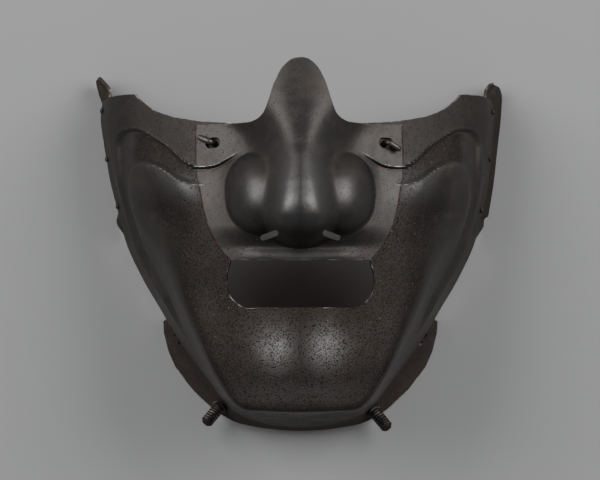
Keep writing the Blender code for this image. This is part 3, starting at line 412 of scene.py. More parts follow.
    def top_edge(self, x: np.ndarray) -> np.ndarray:
        """Gives the height of the cheeks' top edge at a distance from the face's middle."""
        place = place_in([row.across for row in TOP_EDGE], np.abs(x) / self.half_width)
        return through([row.up for row in TOP_EDGE], place) * self.cheek_rise

    def follow_top(self, place: np.ndarray, points: np.ndarray) -> np.ndarray:
        """Bends the uppermost columns so that the first one is the cheek's top edge."""
        inner, _, rear = (edge[0] for edge in self.section(np.zeros(1)))
        share = np.clip((points[..., 0] - inner[0]) / (rear[0] - inner[0]), 0.0, 1.0)
        straight = inner[1] + (rear[1] - inner[1]) * share
        weight = np.clip(1.0 - place / self.top_reach, 0.0, 1.0) ** self.top_curve
        bent = points.copy()
        bent[..., 1] += (self.top_edge(points[..., 0]) - straight) * weight
        return bent

    def point(self, place: np.ndarray, row: np.ndarray) -> np.ndarray:
        """Gives points of the smooth face plate.

        Args:
            place: Where round the plate, counted in sections.
            row: From 0 at the inner edge over the front to 1, round the fold to 2, and down the
                side to 3 at the rear edge.

        Returns:
            An array of points.
        """
        place, row = np.broadcast_arrays(np.asarray(place, float), np.asarray(row, float))
        inner, fold, rear = self.section(place)
        roundness = through([section.roundness for section in SECTIONS], place)
        front = lengths(fold[..., :2] - inner)
        side = lengths(rear - fold)
        bend = roundness * np.minimum(front, side)
        front_end = 1.0 - bend / front

        def on_face(share: np.ndarray) -> np.ndarray:
            """Gives points of the front, a share of the way to the fold."""
            flat = mix(inner, fold[..., :2], share)
            flat = self.follow_top(place, np.concatenate([flat, flat[..., :1] * 0.0], axis=-1))
            flat[..., 2] = self.height(flat[..., 0], flat[..., 1])
            return flat

        front_points = on_face(front_end * np.clip(row, 0.0, 1.0))
        last = on_face(front_end)
        fold = self.follow_top(place, fold)
        rear = self.follow_top(place, rear)
        first = mix(fold, rear, bend / side)
        share = np.clip(row - 1.0, 0.0, 1.0)
        fold_points = mix(mix(last, fold, share), mix(fold, first, share), share)
        side_points = mix(first, rear, np.clip(row - 2.0, 0.0, 1.0))
        points = np.where((row <= 1.0)[..., None], front_points, fold_points)
        return np.where((row > 2.0)[..., None], side_points, points)

    def normal(self, place: np.ndarray, row: np.ndarray) -> np.ndarray:
        """Gives the outward direction of the smooth face plate."""
        step = 0.02
        last = len(SECTIONS) - 1.0
        low = np.maximum(place - step, 0.0)
        high = np.minimum(place + step, last)
        along = self.point(high, row) - self.point(low, row)
        down = self.point(place, np.minimum(row + step, 3.0)) - self.point(place, np.maximum(row - step, 0.0))
        return unit(np.cross(along, down))

    def jaw(self, place: np.ndarray, row: np.ndarray) -> np.ndarray:
        """Gives how far the front stands proud of the side along the crease of the jaw."""
        points = self.point(place, row)
        middle = self.point(place, np.full(np.shape(row), self.jaw_row))
        away = lengths(points - middle) * np.where(row < self.jaw_row, 1.0, -1.0)
        step = ease(-self.jaw_edge / 2, self.jaw_edge / 2, away)
        step = step * np.exp(-((np.maximum(away, 0.0) / self.jaw_fade) ** 2))
        return self.jaw_step * step * ease(*self.jaw_start, place) * (1.0 - ease(*self.jaw_end, place))

    def surface(self, place: np.ndarray, row: np.ndarray) -> np.ndarray:
        """Gives points of the face plate's outer surface with its relief."""
        points = self.point(place, row)
        height = self.relief(points[..., 0], points[..., 1]) + self.jaw(place, row)
        return points + self.normal(place, row) * height[..., None]

    def pushed(self, points: np.ndarray) -> np.ndarray:
        """Moves points of the upper cheeks a little to one side, as the worn plate stands."""
        share = ease(self.skew_low, self.skew_high, points[..., 1] / self.cheek_rise)
        share = share * np.abs(points[..., 0]) / self.half_width
        moved = points.copy()
        moved[..., 0] -= self.skew * share
        return moved


FACE = FaceForm()


def crest_wear_and_highlight(x: np.ndarray, y: np.ndarray) -> np.ndarray:
    """Tells how bright the outer ridge's line is painted, as rubbed wear and painted highlight: most where it
    slants up from the nose.
    """
    across = np.abs(x) / FACE.half_width
    slant = ease(0.30, 0.36, across) * (1.0 - ease(0.68, 0.80, across))
    return slant * ease(0.50, 0.56, y / FACE.cheek_rise)


def ridge_shade(x: np.ndarray, y: np.ndarray) -> np.ndarray:
    """Gives the distance to a painted shade line that lies just inside the rubbed part of the ridge, where
    the step turns away from the light.
    """
    away = np.abs(FACE.inside(RIDGE, np.abs(x), y) - FACE.ridge_edge * 0.9)
    return np.where(crest_wear_and_highlight(x, y) > 0.2, away + 0.15 * MM, FAR)


def rubbed_and_highlight_lines(x: np.ndarray, y: np.ndarray) -> tuple[np.ndarray, np.ndarray]:
    """Gives the distance to the nearest bright line of a cheek, rubbed wear with a painted highlight, and how
    bright it is painted.
    """
    across = np.abs(x) / FACE.half_width
    ridge = np.abs(FACE.inside(RIDGE, np.abs(x), y) + FACE.ridge_edge * 0.4)
    arch = np.abs(FACE.inside(ARCH, np.abs(x), y) - FACE.arch_edge * 0.4)
    # the arch's line is a painted highlight with some rubbing, where its swell rises
    arch_wear_and_highlight = 0.65 * ease(0.46, 0.50, across) * (1.0 - 0.75 * ease(0.66, 0.76, across))
    arch_wear_and_highlight = arch_wear_and_highlight * ease(0.20, 0.42, y / FACE.cheek_rise)
    nearest = ridge < arch
    return np.where(nearest, ridge, arch), np.where(nearest, crest_wear_and_highlight(x, y), arch_wear_and_highlight)


def plain_values(rim: np.ndarray, mottling: float) -> dict[str, np.ndarray]:
    """Gives what the finish reads on a sheet without a ridge or a seam."""
    far = np.full(rim.shape, FAR)
    return {"rim": rim, "seam": far, "ridge": far, "mottling": np.full(rim.shape, mottling)}


class RubbedHighlight(NamedTuple):
    """A high place rubbed smooth and painted with a highlight: where it lies, how far it reaches, how strong.
    """

    across: float
    up: float
    half_width: float
    half_length: float
    strength: float


# painted highlights, partly real rubbing, on the nose's ridge and wings, the cheekbones, the chin and above
# the mouth
RUBBED_HIGHLIGHTS = (
    RubbedHighlight(4.6 * MM, 38.0 * MM, 4.6 * MM, 15.0 * MM, 1.00),
    RubbedHighlight(18.0 * MM, 37.0 * MM, 4.5 * MM, 7.0 * MM, 0.75),
    RubbedHighlight(47.0 * MM, 39.0 * MM, 9.0 * MM, 7.0 * MM, 0.60),
    RubbedHighlight(9.5 * MM, -27.0 * MM, 8.0 * MM, 9.0 * MM, 0.90),
    RubbedHighlight(0.0 * MM, -45.0 * MM, 20.0 * MM, 6.0 * MM, 0.45),
    RubbedHighlight(0.0 * MM, 11.5 * MM, 20.0 * MM, 2.6 * MM, 0.50),
)


def rubbed_highlight_at(x: np.ndarray, y: np.ndarray) -> np.ndarray:
    """Gives how much the iron is rubbed smooth and painted with a highlight at points of the face."""
    total = np.zeros(np.shape(x))
    for row in RUBBED_HIGHLIGHTS:
        away = ((np.abs(x) - row.across) / row.half_width) ** 2 + ((y - row.up) / row.half_length) ** 2
        total = np.maximum(total, row.strength * np.exp(-away))
    return total


# Where the frame has the mouth's middle


@dataclass(frozen=True)
class Stand:
    """Puts the form, worked out from the mouth's middle, where the frame has it."""

    nose_rise: float = 92.02 * MM

    def offset(self) -> Vector:
        """Reads the move from the boxes of the nose piece and the throat flange."""
        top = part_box("nose_piece")[1][1]
        low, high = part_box("throat_flange")
        return Vector(((low[0] + high[0]) / 2, top - self.nose_rise, 0.0))


OFFSET = Stand().offset()


# Meshes


class Sheet(NamedTuple):
    """A grid of points with the values that its finish reads at each of them."""

    points: np.ndarray
    values: dict[str, np.ndarray]


def mirrored_sheet(points: np.ndarray, values: dict[str, np.ndarray]) -> Sheet:
    """Joins a right-hand half, given from its outer end to the middle, with its mirror image.

    Args:
        points: The half's points in rows from the top, each from the outer end to the middle.
        values: What the finish reads at the points.

    Returns:
        The whole sheet, each row from left to right.
    """
    points = points.copy()
    points[:, -1, 0] = 0.0
    left = points * np.array([-1.0, 1.0, 1.0])
    whole = FACE.pushed(np.concatenate([left, points[:, -2::-1]], axis=1))
    joined = {name: np.concatenate([array, array[:, -2::-1]], axis=1) for name, array in values.items()}
    return Sheet(whole, joined)


def hammered(points: np.ndarray, normals: np.ndarray, depth: float, seed: float) -> np.ndarray:
    """Gives a grid the shallow unevenness of a hammered sheet.

    Args:
        points: The grid's points.
        normals: Their outward directions.
        depth: How deep the hammering is.
        seed: Shifts the pattern, so that no two pieces share it.

    Returns:
        The moved points.
    """
    flat = points.reshape(-1, 3)
    broad = 95.0
    fine = 330.0
    shift = Vector((seed, 0.0, 0.0))
    heights = [
        noise.noise(Vector(point) * broad + shift) + 0.35 * noise.noise(Vector(point) * fine + shift)
        for point in flat
    ]
    heights = np.array(heights).reshape(points.shape[:-1]) * depth
    return points + normals * heights[..., None]


def grid_normals(points: np.ndarray) -> np.ndarray:
    """Gives the outward directions of a grid whose rows run down and from left to right."""
    along = np.gradient(points, axis=1)
    down = np.gradient(points, axis=0)
    return unit(np.cross(down, along))


def rim_distance(points: np.ndarray) -> np.ndarray:
    """Gives each grid point's distance to the nearest edge of its sheet."""
    across = walked(points, 1)
    down = walked(points, 0)
    nearest = np.minimum(across, across[:, -1:] - across)
    return np.minimum(nearest, np.minimum(down, down[-1:] - down))


def sheet_mesh(name: str, sheet: Sheet) -> bpy.types.Mesh:
    """Makes an open sheet from a grid, with its values as attributes of its points."""
    rows, columns = sheet.points.shape[:2]
    grid = bmesh.new()
    bmesh.ops.create_grid(grid, x_segments=columns - 1, y_segments=rows - 1, size=1.0)
    mesh = bpy.data.meshes.new(name)
    grid.to_mesh(mesh)
    grid.free()
    points = sheet.points[::-1].reshape(-1, 3) + np.array(OFFSET)
    mesh.vertices.foreach_set("co", points.astype(np.float32).ravel())
    add_values(mesh, {label: array[::-1] for label, array in sheet.values.items()})
    return mesh


def add_values(mesh: bpy.types.Mesh, values: dict[str, np.ndarray]) -> None:
    """Gives the points of a mesh the values that its finish reads."""
    for label, array in values.items():
        layer = mesh.attributes.new(label, "FLOAT", "POINT")
        layer.data.foreach_set("value", np.asarray(array, dtype=np.float32).ravel())


def new_object(name: str, mesh: bpy.types.Mesh, materials: list[bpy.types.Material]) -> bpy.types.Object:
    """Adds a mesh to the scene with its materials."""
    item = bpy.data.objects.new(name, mesh)
    for material in materials:
        mesh.materials.append(material)
    bpy.context.scene.collection.objects.link(item)
    return item


def add_wall(item: bpy.types.Object, thickness: float) -> None:
    """Gives an open sheet its thickness, inwards from its outer surface."""
    wall = item.modifiers.new("wall", "SOLIDIFY")
    wall.thickness = thickness
    wall.offset = -1.0
    wall.use_even_offset = True
    wall.material_offset = Shell.INSIDE.value
    wall.material_offset_rim = Shell.EDGE.value


def cut_out(item: bpy.types.Object, cutters: list[bpy.types.Mesh]) -> None:
    """Cuts closed meshes out of an object; the cut walls get the finish of its edges.

    Args:
        item: The object, whose modifiers are applied with the cut.
        cutters: The meshes, which are used up.
    """
    joined = bmesh.new()
    for cutter in cutters:
        joined.from_mesh(cutter)
        bpy.data.meshes.remove(cutter)
    for face in joined.faces:
        face.material_index = Shell.EDGE.value
    mesh = bpy.data.meshes.new("cutter")
    joined.to_mesh(mesh)
    joined.free()
    add_values(mesh, plain_values(np.full(len(mesh.vertices), FAR), 0.8))
    tool = bpy.data.objects.new("cutter", mesh)
    for material in item.data.materials:
        mesh.materials.append(material)
    bpy.context.scene.collection.objects.link(tool)
    cut = item.modifiers.new("cut", "BOOLEAN")
    cut.operation = "DIFFERENCE"
    cut.solver = "EXACT"
    cut.object = tool
    settle(item)
    bpy.data.objects.remove(tool)
    bpy.data.meshes.remove(mesh)


def settle(item: bpy.types.Object, sharp: float = 40.0) -> None:
    """Applies an object's modifiers and smooths its shading up to an angle in degrees."""
    bpy.context.view_layer.update()
    graph = bpy.context.evaluated_depsgraph_get()
    mesh = bpy.data.meshes.new_from_object(item.evaluated_get(graph), depsgraph=graph)
    mesh.name = item.data.name
    item.modifiers.clear()
    item.data = mesh
    mesh.shade_smooth()
    mesh.set_sharp_from_angle(angle=math.radians(sharp))


def placed(mesh: bpy.types.Mesh, matrix: Matrix) -> bpy.types.Mesh:
    """Puts a mesh in its place in the frame."""
    mesh.transform(Matrix.Translation(OFFSET) @ matrix)
    return mesh


def axis_frame(origin: Vector, axis: Vector, across: Vector = Vector((0.0, 1.0, 0.0))) -> Matrix:
    """Gives the matrix that puts +Z along an axis at an origin, with +X towards a direction."""
    forward = axis.normalized()
    sideways = (across - forward * across.dot(forward)).normalized()
    matrix = Matrix((sideways, forward.cross(sideways), forward)).transposed().to_4x4()
    matrix.translation = origin
    return matrix


def rod_mesh(
    name: str, diameter: float, length: float, stretch: float = 0.0, sides: int = 40
) -> bpy.types.Mesh:
    """Makes a closed rod along Z, centred, whose section may be stretched into a slot.

    Args:
        name: The mesh's name.
        diameter: The rod's diameter.
        length: Its length.
        stretch: How much wider its section is along X.
        sides: How many sides it has.

    Returns:
        The rod's mesh.
    """
    rod = bmesh.new()
    bmesh.ops.create_cone(
        rod, cap_ends=True, segments=sides, radius1=diameter / 2, radius2=diameter / 2, depth=length
    )
    for vertex in rod.verts:
        if abs(vertex.co.x) > diameter * 0.01:
            vertex.co.x += math.copysign(stretch / 2, vertex.co.x)
    mesh = bpy.data.meshes.new(name)
    rod.to_mesh(mesh)
    rod.free()
    return mesh


def turned_mesh(name: str, profile: list[tuple[float, float]], sides: int) -> bpy.types.Mesh:
    """Spins a profile of radii and heights about Z.

    Args:
        name: The mesh's name.
        profile: Radii and heights from the top on the axis to the bottom on the axis.
        sides: How many steps the spin has.

    Returns:
        The closed mesh, faces outwards.
    """
    work = bmesh.new()
    points = [work.verts.new((radius, 0.0, height)) for radius, height in profile]
    edges = [work.edges.new(pair) for pair in zip(points, points[1:])]
    bmesh.ops.spin(
        work,
        geom=points + edges,
        cent=(0.0, 0.0, 0.0),
        axis=(0.0, 0.0, 1.0),
        angle=math.tau,
        steps=sides,
        use_merge=True,
    )
    bmesh.ops.remove_doubles(work, verts=work.verts, dist=0.00001)
    bmesh.ops.recalc_face_normals(work, faces=work.faces)
    mesh = bpy.data.meshes.new(name)
    work.to_mesh(mesh)
    work.free()
    return mesh


def mirrored(point: np.ndarray, side: Side) -> Vector:
    """Turns a point of the right-hand half into the same point of a side."""
    return Vector((point[0] * side.sign, point[1], point[2]))


def pushed_point(point: np.ndarray, side: Side) -> Vector:
    """Mirrors a point to its side and moves it as the worn plate stands."""
    return Vector(FACE.pushed(np.array(mirrored(point, side))))


# Shader building


class Nodes:
    """Lays out the nodes of a material or a node group."""

    def __init__(self, tree: bpy.types.NodeTree) -> None:
        """Keeps the tree that the nodes go into."""
        self.tree = tree

    def add(self, kind: str, **settings: object) -> bpy.types.Node:
        """Adds a node of a type with its settings."""
        node = self.tree.nodes.new(kind)
        for name, value in settings.items():
            setattr(node, name, value)
        return node

    def feed(self, socket: bpy.types.NodeSocket, value: object) -> None:
        """Links a socket to another, or sets its value."""
        if isinstance(value, bpy.types.NodeSocket):
            self.tree.links.new(value, socket)
        else:
            socket.default_value = value

    def math(
        self, operation: str, first: object, second: object = 0.0, clamp: bool = False
    ) -> bpy.types.NodeSocket:
        """Adds a Math node and gives its result."""
        node = self.add("ShaderNodeMath", operation=operation, use_clamp=clamp)
        self.feed(node.inputs[0], first)
        self.feed(node.inputs[1], second)
        return node.outputs[0]

    def blend(self, factor: object, first: object, second: object) -> bpy.types.NodeSocket:
        """Mixes two colours and gives the result."""
        node = self.add("ShaderNodeMix", data_type="RGBA", clamp_factor=True)
        self.feed(node.inputs["Factor"], factor)
        self.feed(node.inputs[6], first)
        self.feed(node.inputs[7], second)
        return node.outputs[2]

    def noise(self, vector: object, scale: object, detail: float, rough: float = 0.5) -> bpy.types.NodeSocket:
        """Adds a noise pattern and gives its value."""
        node = self.add("ShaderNodeTexNoise")
        self.feed(node.inputs["Vector"], vector)
        self.feed(node.inputs["Scale"], scale)
        node.inputs["Detail"].default_value = detail
        node.inputs["Roughness"].default_value = rough
        return node.outputs["Fac"]

    def ramp(
        self, value: object, low: object, high: object, start: object = 0.0, end: object = 1.0
    ) -> bpy.types.NodeSocket:
        """Eases a value from start at low to end at high."""
        node = self.add("ShaderNodeMapRange", interpolation_type="SMOOTHSTEP")
        inputs = {"Value": value, "From Min": low, "From Max": high, "To Min": start, "To Max": end}
        for name, number in inputs.items():
            self.feed(node.inputs[name], number)
        return node.outputs[0]

    def attribute(self, name: str) -> bpy.types.NodeSocket:
        """Reads a value that the mesh carries at its points."""
        return self.add("ShaderNodeAttribute", attribute_name=name).outputs["Fac"]

    def group(self, tree: bpy.types.NodeTree, **values: object) -> bpy.types.Node:
        """Adds a node group with its inputs, whose spaces are written as underscores."""
        node = self.add("ShaderNodeGroup", node_tree=tree)
        for name, value in values.items():
            self.feed(node.inputs[name.replace("_", " ")], value)
        return node


def new_group(
    name: str, inputs: dict[str, object], outputs: dict[str, str]
) -> tuple[bpy.types.NodeTree, Nodes, object, object]:
    """Starts a node group.

    Args:
        name: The group's name.
        inputs: Names of the inputs with their first values; a vector's value is None.
        outputs: Names of the outputs with their socket types.

    Returns:
        The tree, its node builder, and the nodes that carry its inputs and outputs.
    """
    tree = bpy.data.node_groups.new(name, "ShaderNodeTree")
    for label, value in inputs.items():
        kind = "NodeSocketVector" if value is None else "NodeSocketFloat"
        socket = tree.interface.new_socket(name=label, in_out="INPUT", socket_type=kind)
        if value is not None:
            socket.default_value = value
    for label, kind in outputs.items():
        tree.interface.new_socket(name=label, in_out="OUTPUT", socket_type=kind)
    nodes = Nodes(tree)
    return tree, nodes, nodes.add("NodeGroupInput"), nodes.add("NodeGroupOutput")


def forged_grain() -> bpy.types.NodeTree:
    """Builds the grain of forged and rusted iron: its tone, its rust flecks, its pits and its height."""
    tree, nodes, given, result = new_group(
        "forged grain",
        {"Vector": None, "Mottling": 0.5, "Scale": 1.0},
        {name: "NodeSocketFloat" for name in ("Tone", "Flecks", "Rust", "Pits", "Height")},
    )
    place = given.outputs["Vector"]
    scale = given.outputs["Scale"]
    mottling = given.outputs["Mottling"]

    def pattern(cycles: float, detail: float, rough: float = 0.5) -> bpy.types.NodeSocket:
        """Gives a noise pattern of so many cycles in a metre."""
        return nodes.noise(place, nodes.math("MULTIPLY", scale, cycles), detail, rough)

    broad = pattern(46.0, 3.0)
    cloud = pattern(210.0, 4.0, 0.6)
    grain = pattern(1150.0, 3.0, 0.6)
    flecks = pattern(1350.0, 3.0, 0.6)
    pits = pattern(1500.0, 2.0, 0.55)
    rust = pattern(640.0, 2.0, 0.5)
    tone = nodes.ramp(broad, 0.35, 0.65, 0.0, 0.55)
    tone = nodes.math("ADD", tone, nodes.ramp(cloud, 0.38, 0.66, 0.0, 0.45))
    fleck_line = nodes.math("SUBTRACT", 0.66, nodes.math("MULTIPLY", mottling, 0.12))
    fleck_line = nodes.math("SUBTRACT", fleck_line, nodes.ramp(cloud, 0.40, 0.65, 0.0, 0.07))
    fleck_mask = nodes.ramp(flecks, fleck_line, nodes.math("ADD", fleck_line, 0.12))
    rust_line = nodes.math("SUBTRACT", 0.78, nodes.math("MULTIPLY", mottling, 0.07))
    rust_mask = nodes.ramp(rust, rust_line, nodes.math("ADD", rust_line, 0.05))
    pit_line = nodes.math("ADD", 0.30, nodes.math("MULTIPLY", mottling, 0.14))
    pit_mask = nodes.ramp(pits, nodes.math("SUBTRACT", pit_line, 0.07), pit_line, 1.0, 0.0)
    height = nodes.math("ADD", nodes.math("MULTIPLY", grain, 0.5), nodes.math("MULTIPLY", cloud, 0.8))
    height = nodes.math("SUBTRACT", height, nodes.math("MULTIPLY", pit_mask, 0.55))
    height = nodes.math("ADD", height, nodes.math("MULTIPLY", fleck_mask, 0.25))
    masks = {"Tone": tone, "Flecks": fleck_mask, "Rust": rust_mask, "Pits": pit_mask, "Height": height}
    for name, value in masks.items():
        nodes.feed(result.inputs[name], value)
    return tree


def edge_wear() -> bpy.types.NodeTree:
    """Builds the wear along an edge or a raised line, broken up by noise."""
    tree, nodes, given, result = new_group(
        "edge wear",
        {"Vector": None, "Distance": 1.0, "Width": 0.001, "Breakup": 0.5},
        {"Wear": "NodeSocketFloat"},
    )
    width = given.outputs["Width"]
    away = nodes.math("ABSOLUTE", given.outputs["Distance"])
    line = nodes.ramp(away, nodes.math("MULTIPLY", width, 0.15), width, 1.0, 0.0)
    patches = nodes.noise(given.outputs["Vector"], 190.0, 4.0, 0.65)
    low = nodes.math("MULTIPLY", given.outputs["Breakup"], 0.62)
    patches = nodes.ramp(patches, low, nodes.math("ADD", low, 0.22))
    nodes.feed(result.inputs["Wear"], nodes.math("MULTIPLY", line, patches))
    return tree


GRAIN = forged_grain()
WEAR = edge_wear()

Colour = tuple[float, float, float]


def opaque(colour: Colour) -> tuple[float, float, float, float]:
    """Gives a colour its alpha."""
    return (*colour, 1.0)


@dataclass(frozen=True)
class ForgedIron:
    """Dark russet iron with rust flecks, pits and bright worn edges, with painted highlights on rubbed high
    places and along the cheeks' raised lines, and painted shade through its stain colour on the face plate.

    Colours are linear. Widths are in metres.
    """

    name: str
    dark: Colour = (0.050, 0.047, 0.045)
    brown: Colour = (0.070, 0.061, 0.055)
    # dark stain colour, which also paints shade where the face plate's mottling marks the hollow, the groove
    # and the chin's underside
    stain_and_shade: Colour = (0.027, 0.023, 0.021)
    # painted highlight colour of the rubbed high places
    polished_highlight: Colour = (0.098, 0.096, 0.095)
    fleck: Colour = (0.085, 0.062, 0.047)
    rust: Colour = (0.160, 0.080, 0.042)
    pit: Colour = (0.014, 0.011, 0.010)
    # the worn colour brightens real rubbed rims and also the painted highlight lines on the ridge and arch
    worn: Colour = (0.360, 0.345, 0.330)
    roughness: float = 0.47
    roughness_spread: float = 0.10
    metallic: float = 0.80
    mottling: float = 1.0
    scale: float = 1.0
    bump: float = 0.10 * MM
    rim_wear: float = 0.35 * MM
    rim_breakup: float = 0.75
    ridge_wear_and_highlight: float = 0.3 * MM
    # width of the dark seam line and of the painted shade line inside the ridge
    seam_and_shade_width: float = 0.55 * MM
    seam_red: Colour = (0.070, 0.014, 0.010)

    def material(self) -> bpy.types.Material:
        """Builds the finish from the values that the sheet's points carry."""
        material = bpy.data.materials.new(self.name)
        material.use_nodes = True
        nodes = Nodes(material.node_tree)
        shader = material.node_tree.nodes["Principled BSDF"]
        place = nodes.add("ShaderNodeTexCoord").outputs["Object"]
        mottling = nodes.math("MULTIPLY", nodes.attribute("mottling"), self.mottling)
        grain = nodes.group(GRAIN, Vector=place, Mottling=mottling, Scale=self.scale)
        rim = nodes.group(
            WEAR, Vector=place, Distance=nodes.attribute("rim"), Width=self.rim_wear, Breakup=self.rim_breakup
        )
        # the ridge and arch lines: rubbed wear and painted highlight
        line = nodes.attribute("ridge")
        ridge = nodes.group(WEAR, Vector=place, Distance=line, Width=self.ridge_wear_and_highlight, Breakup=0.4)
        rubbed = nodes.math("MULTIPLY", ridge.outputs[0], nodes.attribute("crest"))
        wear = nodes.math("MAXIMUM", rim.outputs[0], rubbed)
        polish_and_highlight = nodes.attribute("polish_and_highlight")
        colour = nodes.blend(grain.outputs["Tone"], opaque(self.dark), opaque(self.brown))
        # real stain, and painted shade where the face plate's mottling is raised for it
        stain_and_shade_mask = nodes.math("MULTIPLY", nodes.ramp(mottling, 0.1, 0.9), nodes.math("SUBTRACT", 1.0, polish_and_highlight))
        colour = nodes.blend(stain_and_shade_mask, colour, opaque(self.stain_and_shade))
        # painted highlight: the rubbed high places are brightened
        colour = nodes.blend(polish_and_highlight, colour, opaque(self.polished_highlight))
        colour = nodes.blend(nodes.math("MULTIPLY", grain.outputs["Flecks"], 0.7), colour, opaque(self.fleck))
        colour = nodes.blend(nodes.math("MULTIPLY", grain.outputs["Rust"], 0.8), colour, opaque(self.rust))
        colour = nodes.blend(grain.outputs["Pits"], colour, opaque(self.pit))
        # the seam line: a real dark joint with red lacquer traces, and the painted shade line inside the
        # ridge
        line = nodes.attribute("seam")
        seam = nodes.group(WEAR, Vector=place, Distance=line, Width=self.seam_and_shade_width, Breakup=0.0)
        trace = nodes.ramp(nodes.noise(place, 260.0, 3.0), 0.56, 0.62)
        trace = nodes.blend(trace, opaque(self.pit), opaque(self.seam_red))
        colour = nodes.blend(nodes.math("MULTIPLY", seam.outputs[0], 0.85), colour, trace)
        # worn rims, and painted highlight along the ridge and arch lines
        colour = nodes.blend(wear, colour, opaque(self.worn))
        roughest = self.roughness + self.roughness_spread
        rough = nodes.ramp(grain.outputs["Tone"], 0.0, 1.0, self.roughness, roughest)
        rough = nodes.math("ADD", rough, nodes.math("MULTIPLY", stain_and_shade_mask, 0.08))
        rough = nodes.math("SUBTRACT", rough, nodes.math("MULTIPLY", polish_and_highlight, 0.06))
        rough = nodes.math("ADD", rough, nodes.math("MULTIPLY", grain.outputs["Flecks"], 0.15))
        rough = nodes.math("SUBTRACT", rough, nodes.math("MULTIPLY", wear, 0.1), clamp=True)
        bump = nodes.add("ShaderNodeBump")
        bump.inputs["Distance"].default_value = self.bump
        nodes.feed(bump.inputs["Height"], grain.outputs["Height"])
        nodes.feed(shader.inputs["Base Color"], colour)
        nodes.feed(shader.inputs["Roughness"], rough)
        nodes.feed(shader.inputs["Normal"], bump.outputs[0])
        dull = nodes.math("MULTIPLY", grain.outputs["Rust"], self.metallic)
        nodes.feed(shader.inputs["Metallic"], nodes.math("SUBTRACT", self.metallic, dull))
        return material


@dataclass(frozen=True)
class RedLacquer:
    """Old red lacquer on the inside, darkened and rubbed."""

    name: str = "red_lacquer"
    red: Colour = (0.200, 0.022, 0.014)
    dark: Colour = (0.045, 0.010, 0.008)
    bare: Colour = (0.030, 0.024, 0.021)
    roughness: float = 0.32
    roughness_spread: float = 0.20

    def material(self) -> bpy.types.Material:
        """Builds the finish."""
        material = bpy.data.materials.new(self.name)
        material.use_nodes = True
        nodes = Nodes(material.node_tree)
        shader = material.node_tree.nodes["Principled BSDF"]
        place = nodes.add("ShaderNodeTexCoord").outputs["Object"]
        clouds = nodes.noise(place, 120.0, 5.0, 0.6)
        chips = nodes.ramp(nodes.noise(place, 420.0, 4.0, 0.65), 0.60, 0.66)
        colour = nodes.blend(nodes.ramp(clouds, 0.35, 0.65), opaque(self.red), opaque(self.dark))
        colour = nodes.blend(chips, colour, opaque(self.bare))
        bump = nodes.add("ShaderNodeBump")
        bump.inputs["Distance"].default_value = 0.08 * MM
        nodes.feed(bump.inputs["Height"], nodes.math("SUBTRACT", clouds, nodes.math("MULTIPLY", chips, 0.4)))
        nodes.feed(shader.inputs["Base Color"], colour)
        rough = nodes.ramp(clouds, 0.3, 0.7, self.roughness, self.roughness + self.roughness_spread)
        nodes.feed(shader.inputs["Roughness"], rough)
        nodes.feed(shader.inputs["Normal"], bump.outputs[0])
        return material


@dataclass(frozen=True)
class FloorPaper:
    """Smooth pale grey paper under the guard."""

    name: str = "floor_paper"
    colour: Colour = (0.36, 0.36, 0.36)

    def material(self) -> bpy.types.Material:
        """Builds the finish."""
        material = bpy.data.materials.new(self.name)
        material.use_nodes = True
        nodes = Nodes(material.node_tree)
        shader = material.node_tree.nodes["Principled BSDF"]
        place = nodes.add("ShaderNodeTexCoord").outputs["Object"]
        cloud = nodes.noise(place, 9.0, 3.0)
        tint = tuple(value * 0.94 for value in self.colour)
        nodes.feed(shader.inputs["Base Color"], nodes.blend(cloud, opaque(self.colour), opaque(tint)))
        shader.inputs["Roughness"].default_value = 0.85
        shader.inputs["Specular IOR Level"].default_value = 0.2
        return material


def iron(name: str, **values: object) -> bpy.types.Material:
    """Gives a finish its field: forged iron with its own values, built with the other finishes."""
    return field(default_factory=lambda: ForgedIron(name, **values).material())


@dataclass(frozen=True)
class Finishes:
    """All the finishes of the guard, built once."""

    face: bpy.types.Material = iron("russet_iron")
    nose: bpy.types.Material = iron("nose_iron", mottling=0.6, roughness=0.44)
    flange: bpy.types.Material = iron(
        "rusty_flange_iron",
        dark=(0.040, 0.028, 0.023),
        brown=(0.075, 0.048, 0.035),
        roughness=0.5,
        metallic=0.45,
    )
    guard: bpy.types.Material = iron(
        "guard_iron", dark=(0.048, 0.041, 0.037), brown=(0.072, 0.055, 0.045), mottling=0.5
    )
    peg: bpy.types.Material = iron("peg_iron", brown=(0.080, 0.062, 0.050), mottling=0.8)
    edge: bpy.types.Material = iron(
        "edge_iron",
        dark=(0.060, 0.040, 0.032),
        brown=(0.130, 0.090, 0.070),
        rim_wear=0.6 * MM,
        metallic=0.6,
    )
    pin: bpy.types.Material = iron(
        "worn_pin_iron",
        dark=(0.160, 0.150, 0.140),
        brown=(0.110, 0.080, 0.060),
        metallic=0.9,
        roughness=0.34,
    )
    lacquer: bpy.types.Material = field(default_factory=lambda: RedLacquer().material())

    def shells(self, outside: bpy.types.Material) -> list[bpy.types.Material]:
        """Gives a sheet's three finishes in the order of its material slots."""
        return [outside, self.lacquer, self.edge]


def ride(item: bpy.types.Object, node: str, body: str = "root") -> None:
    """Lets a piece stand for its CAD node, which is hidden, and ride on its body; logs its face count."""
    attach(item, body)
    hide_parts(node)
    LOG.info("%s: %d faces", item.name, len(item.data.polygons))


# Sub-assemblies


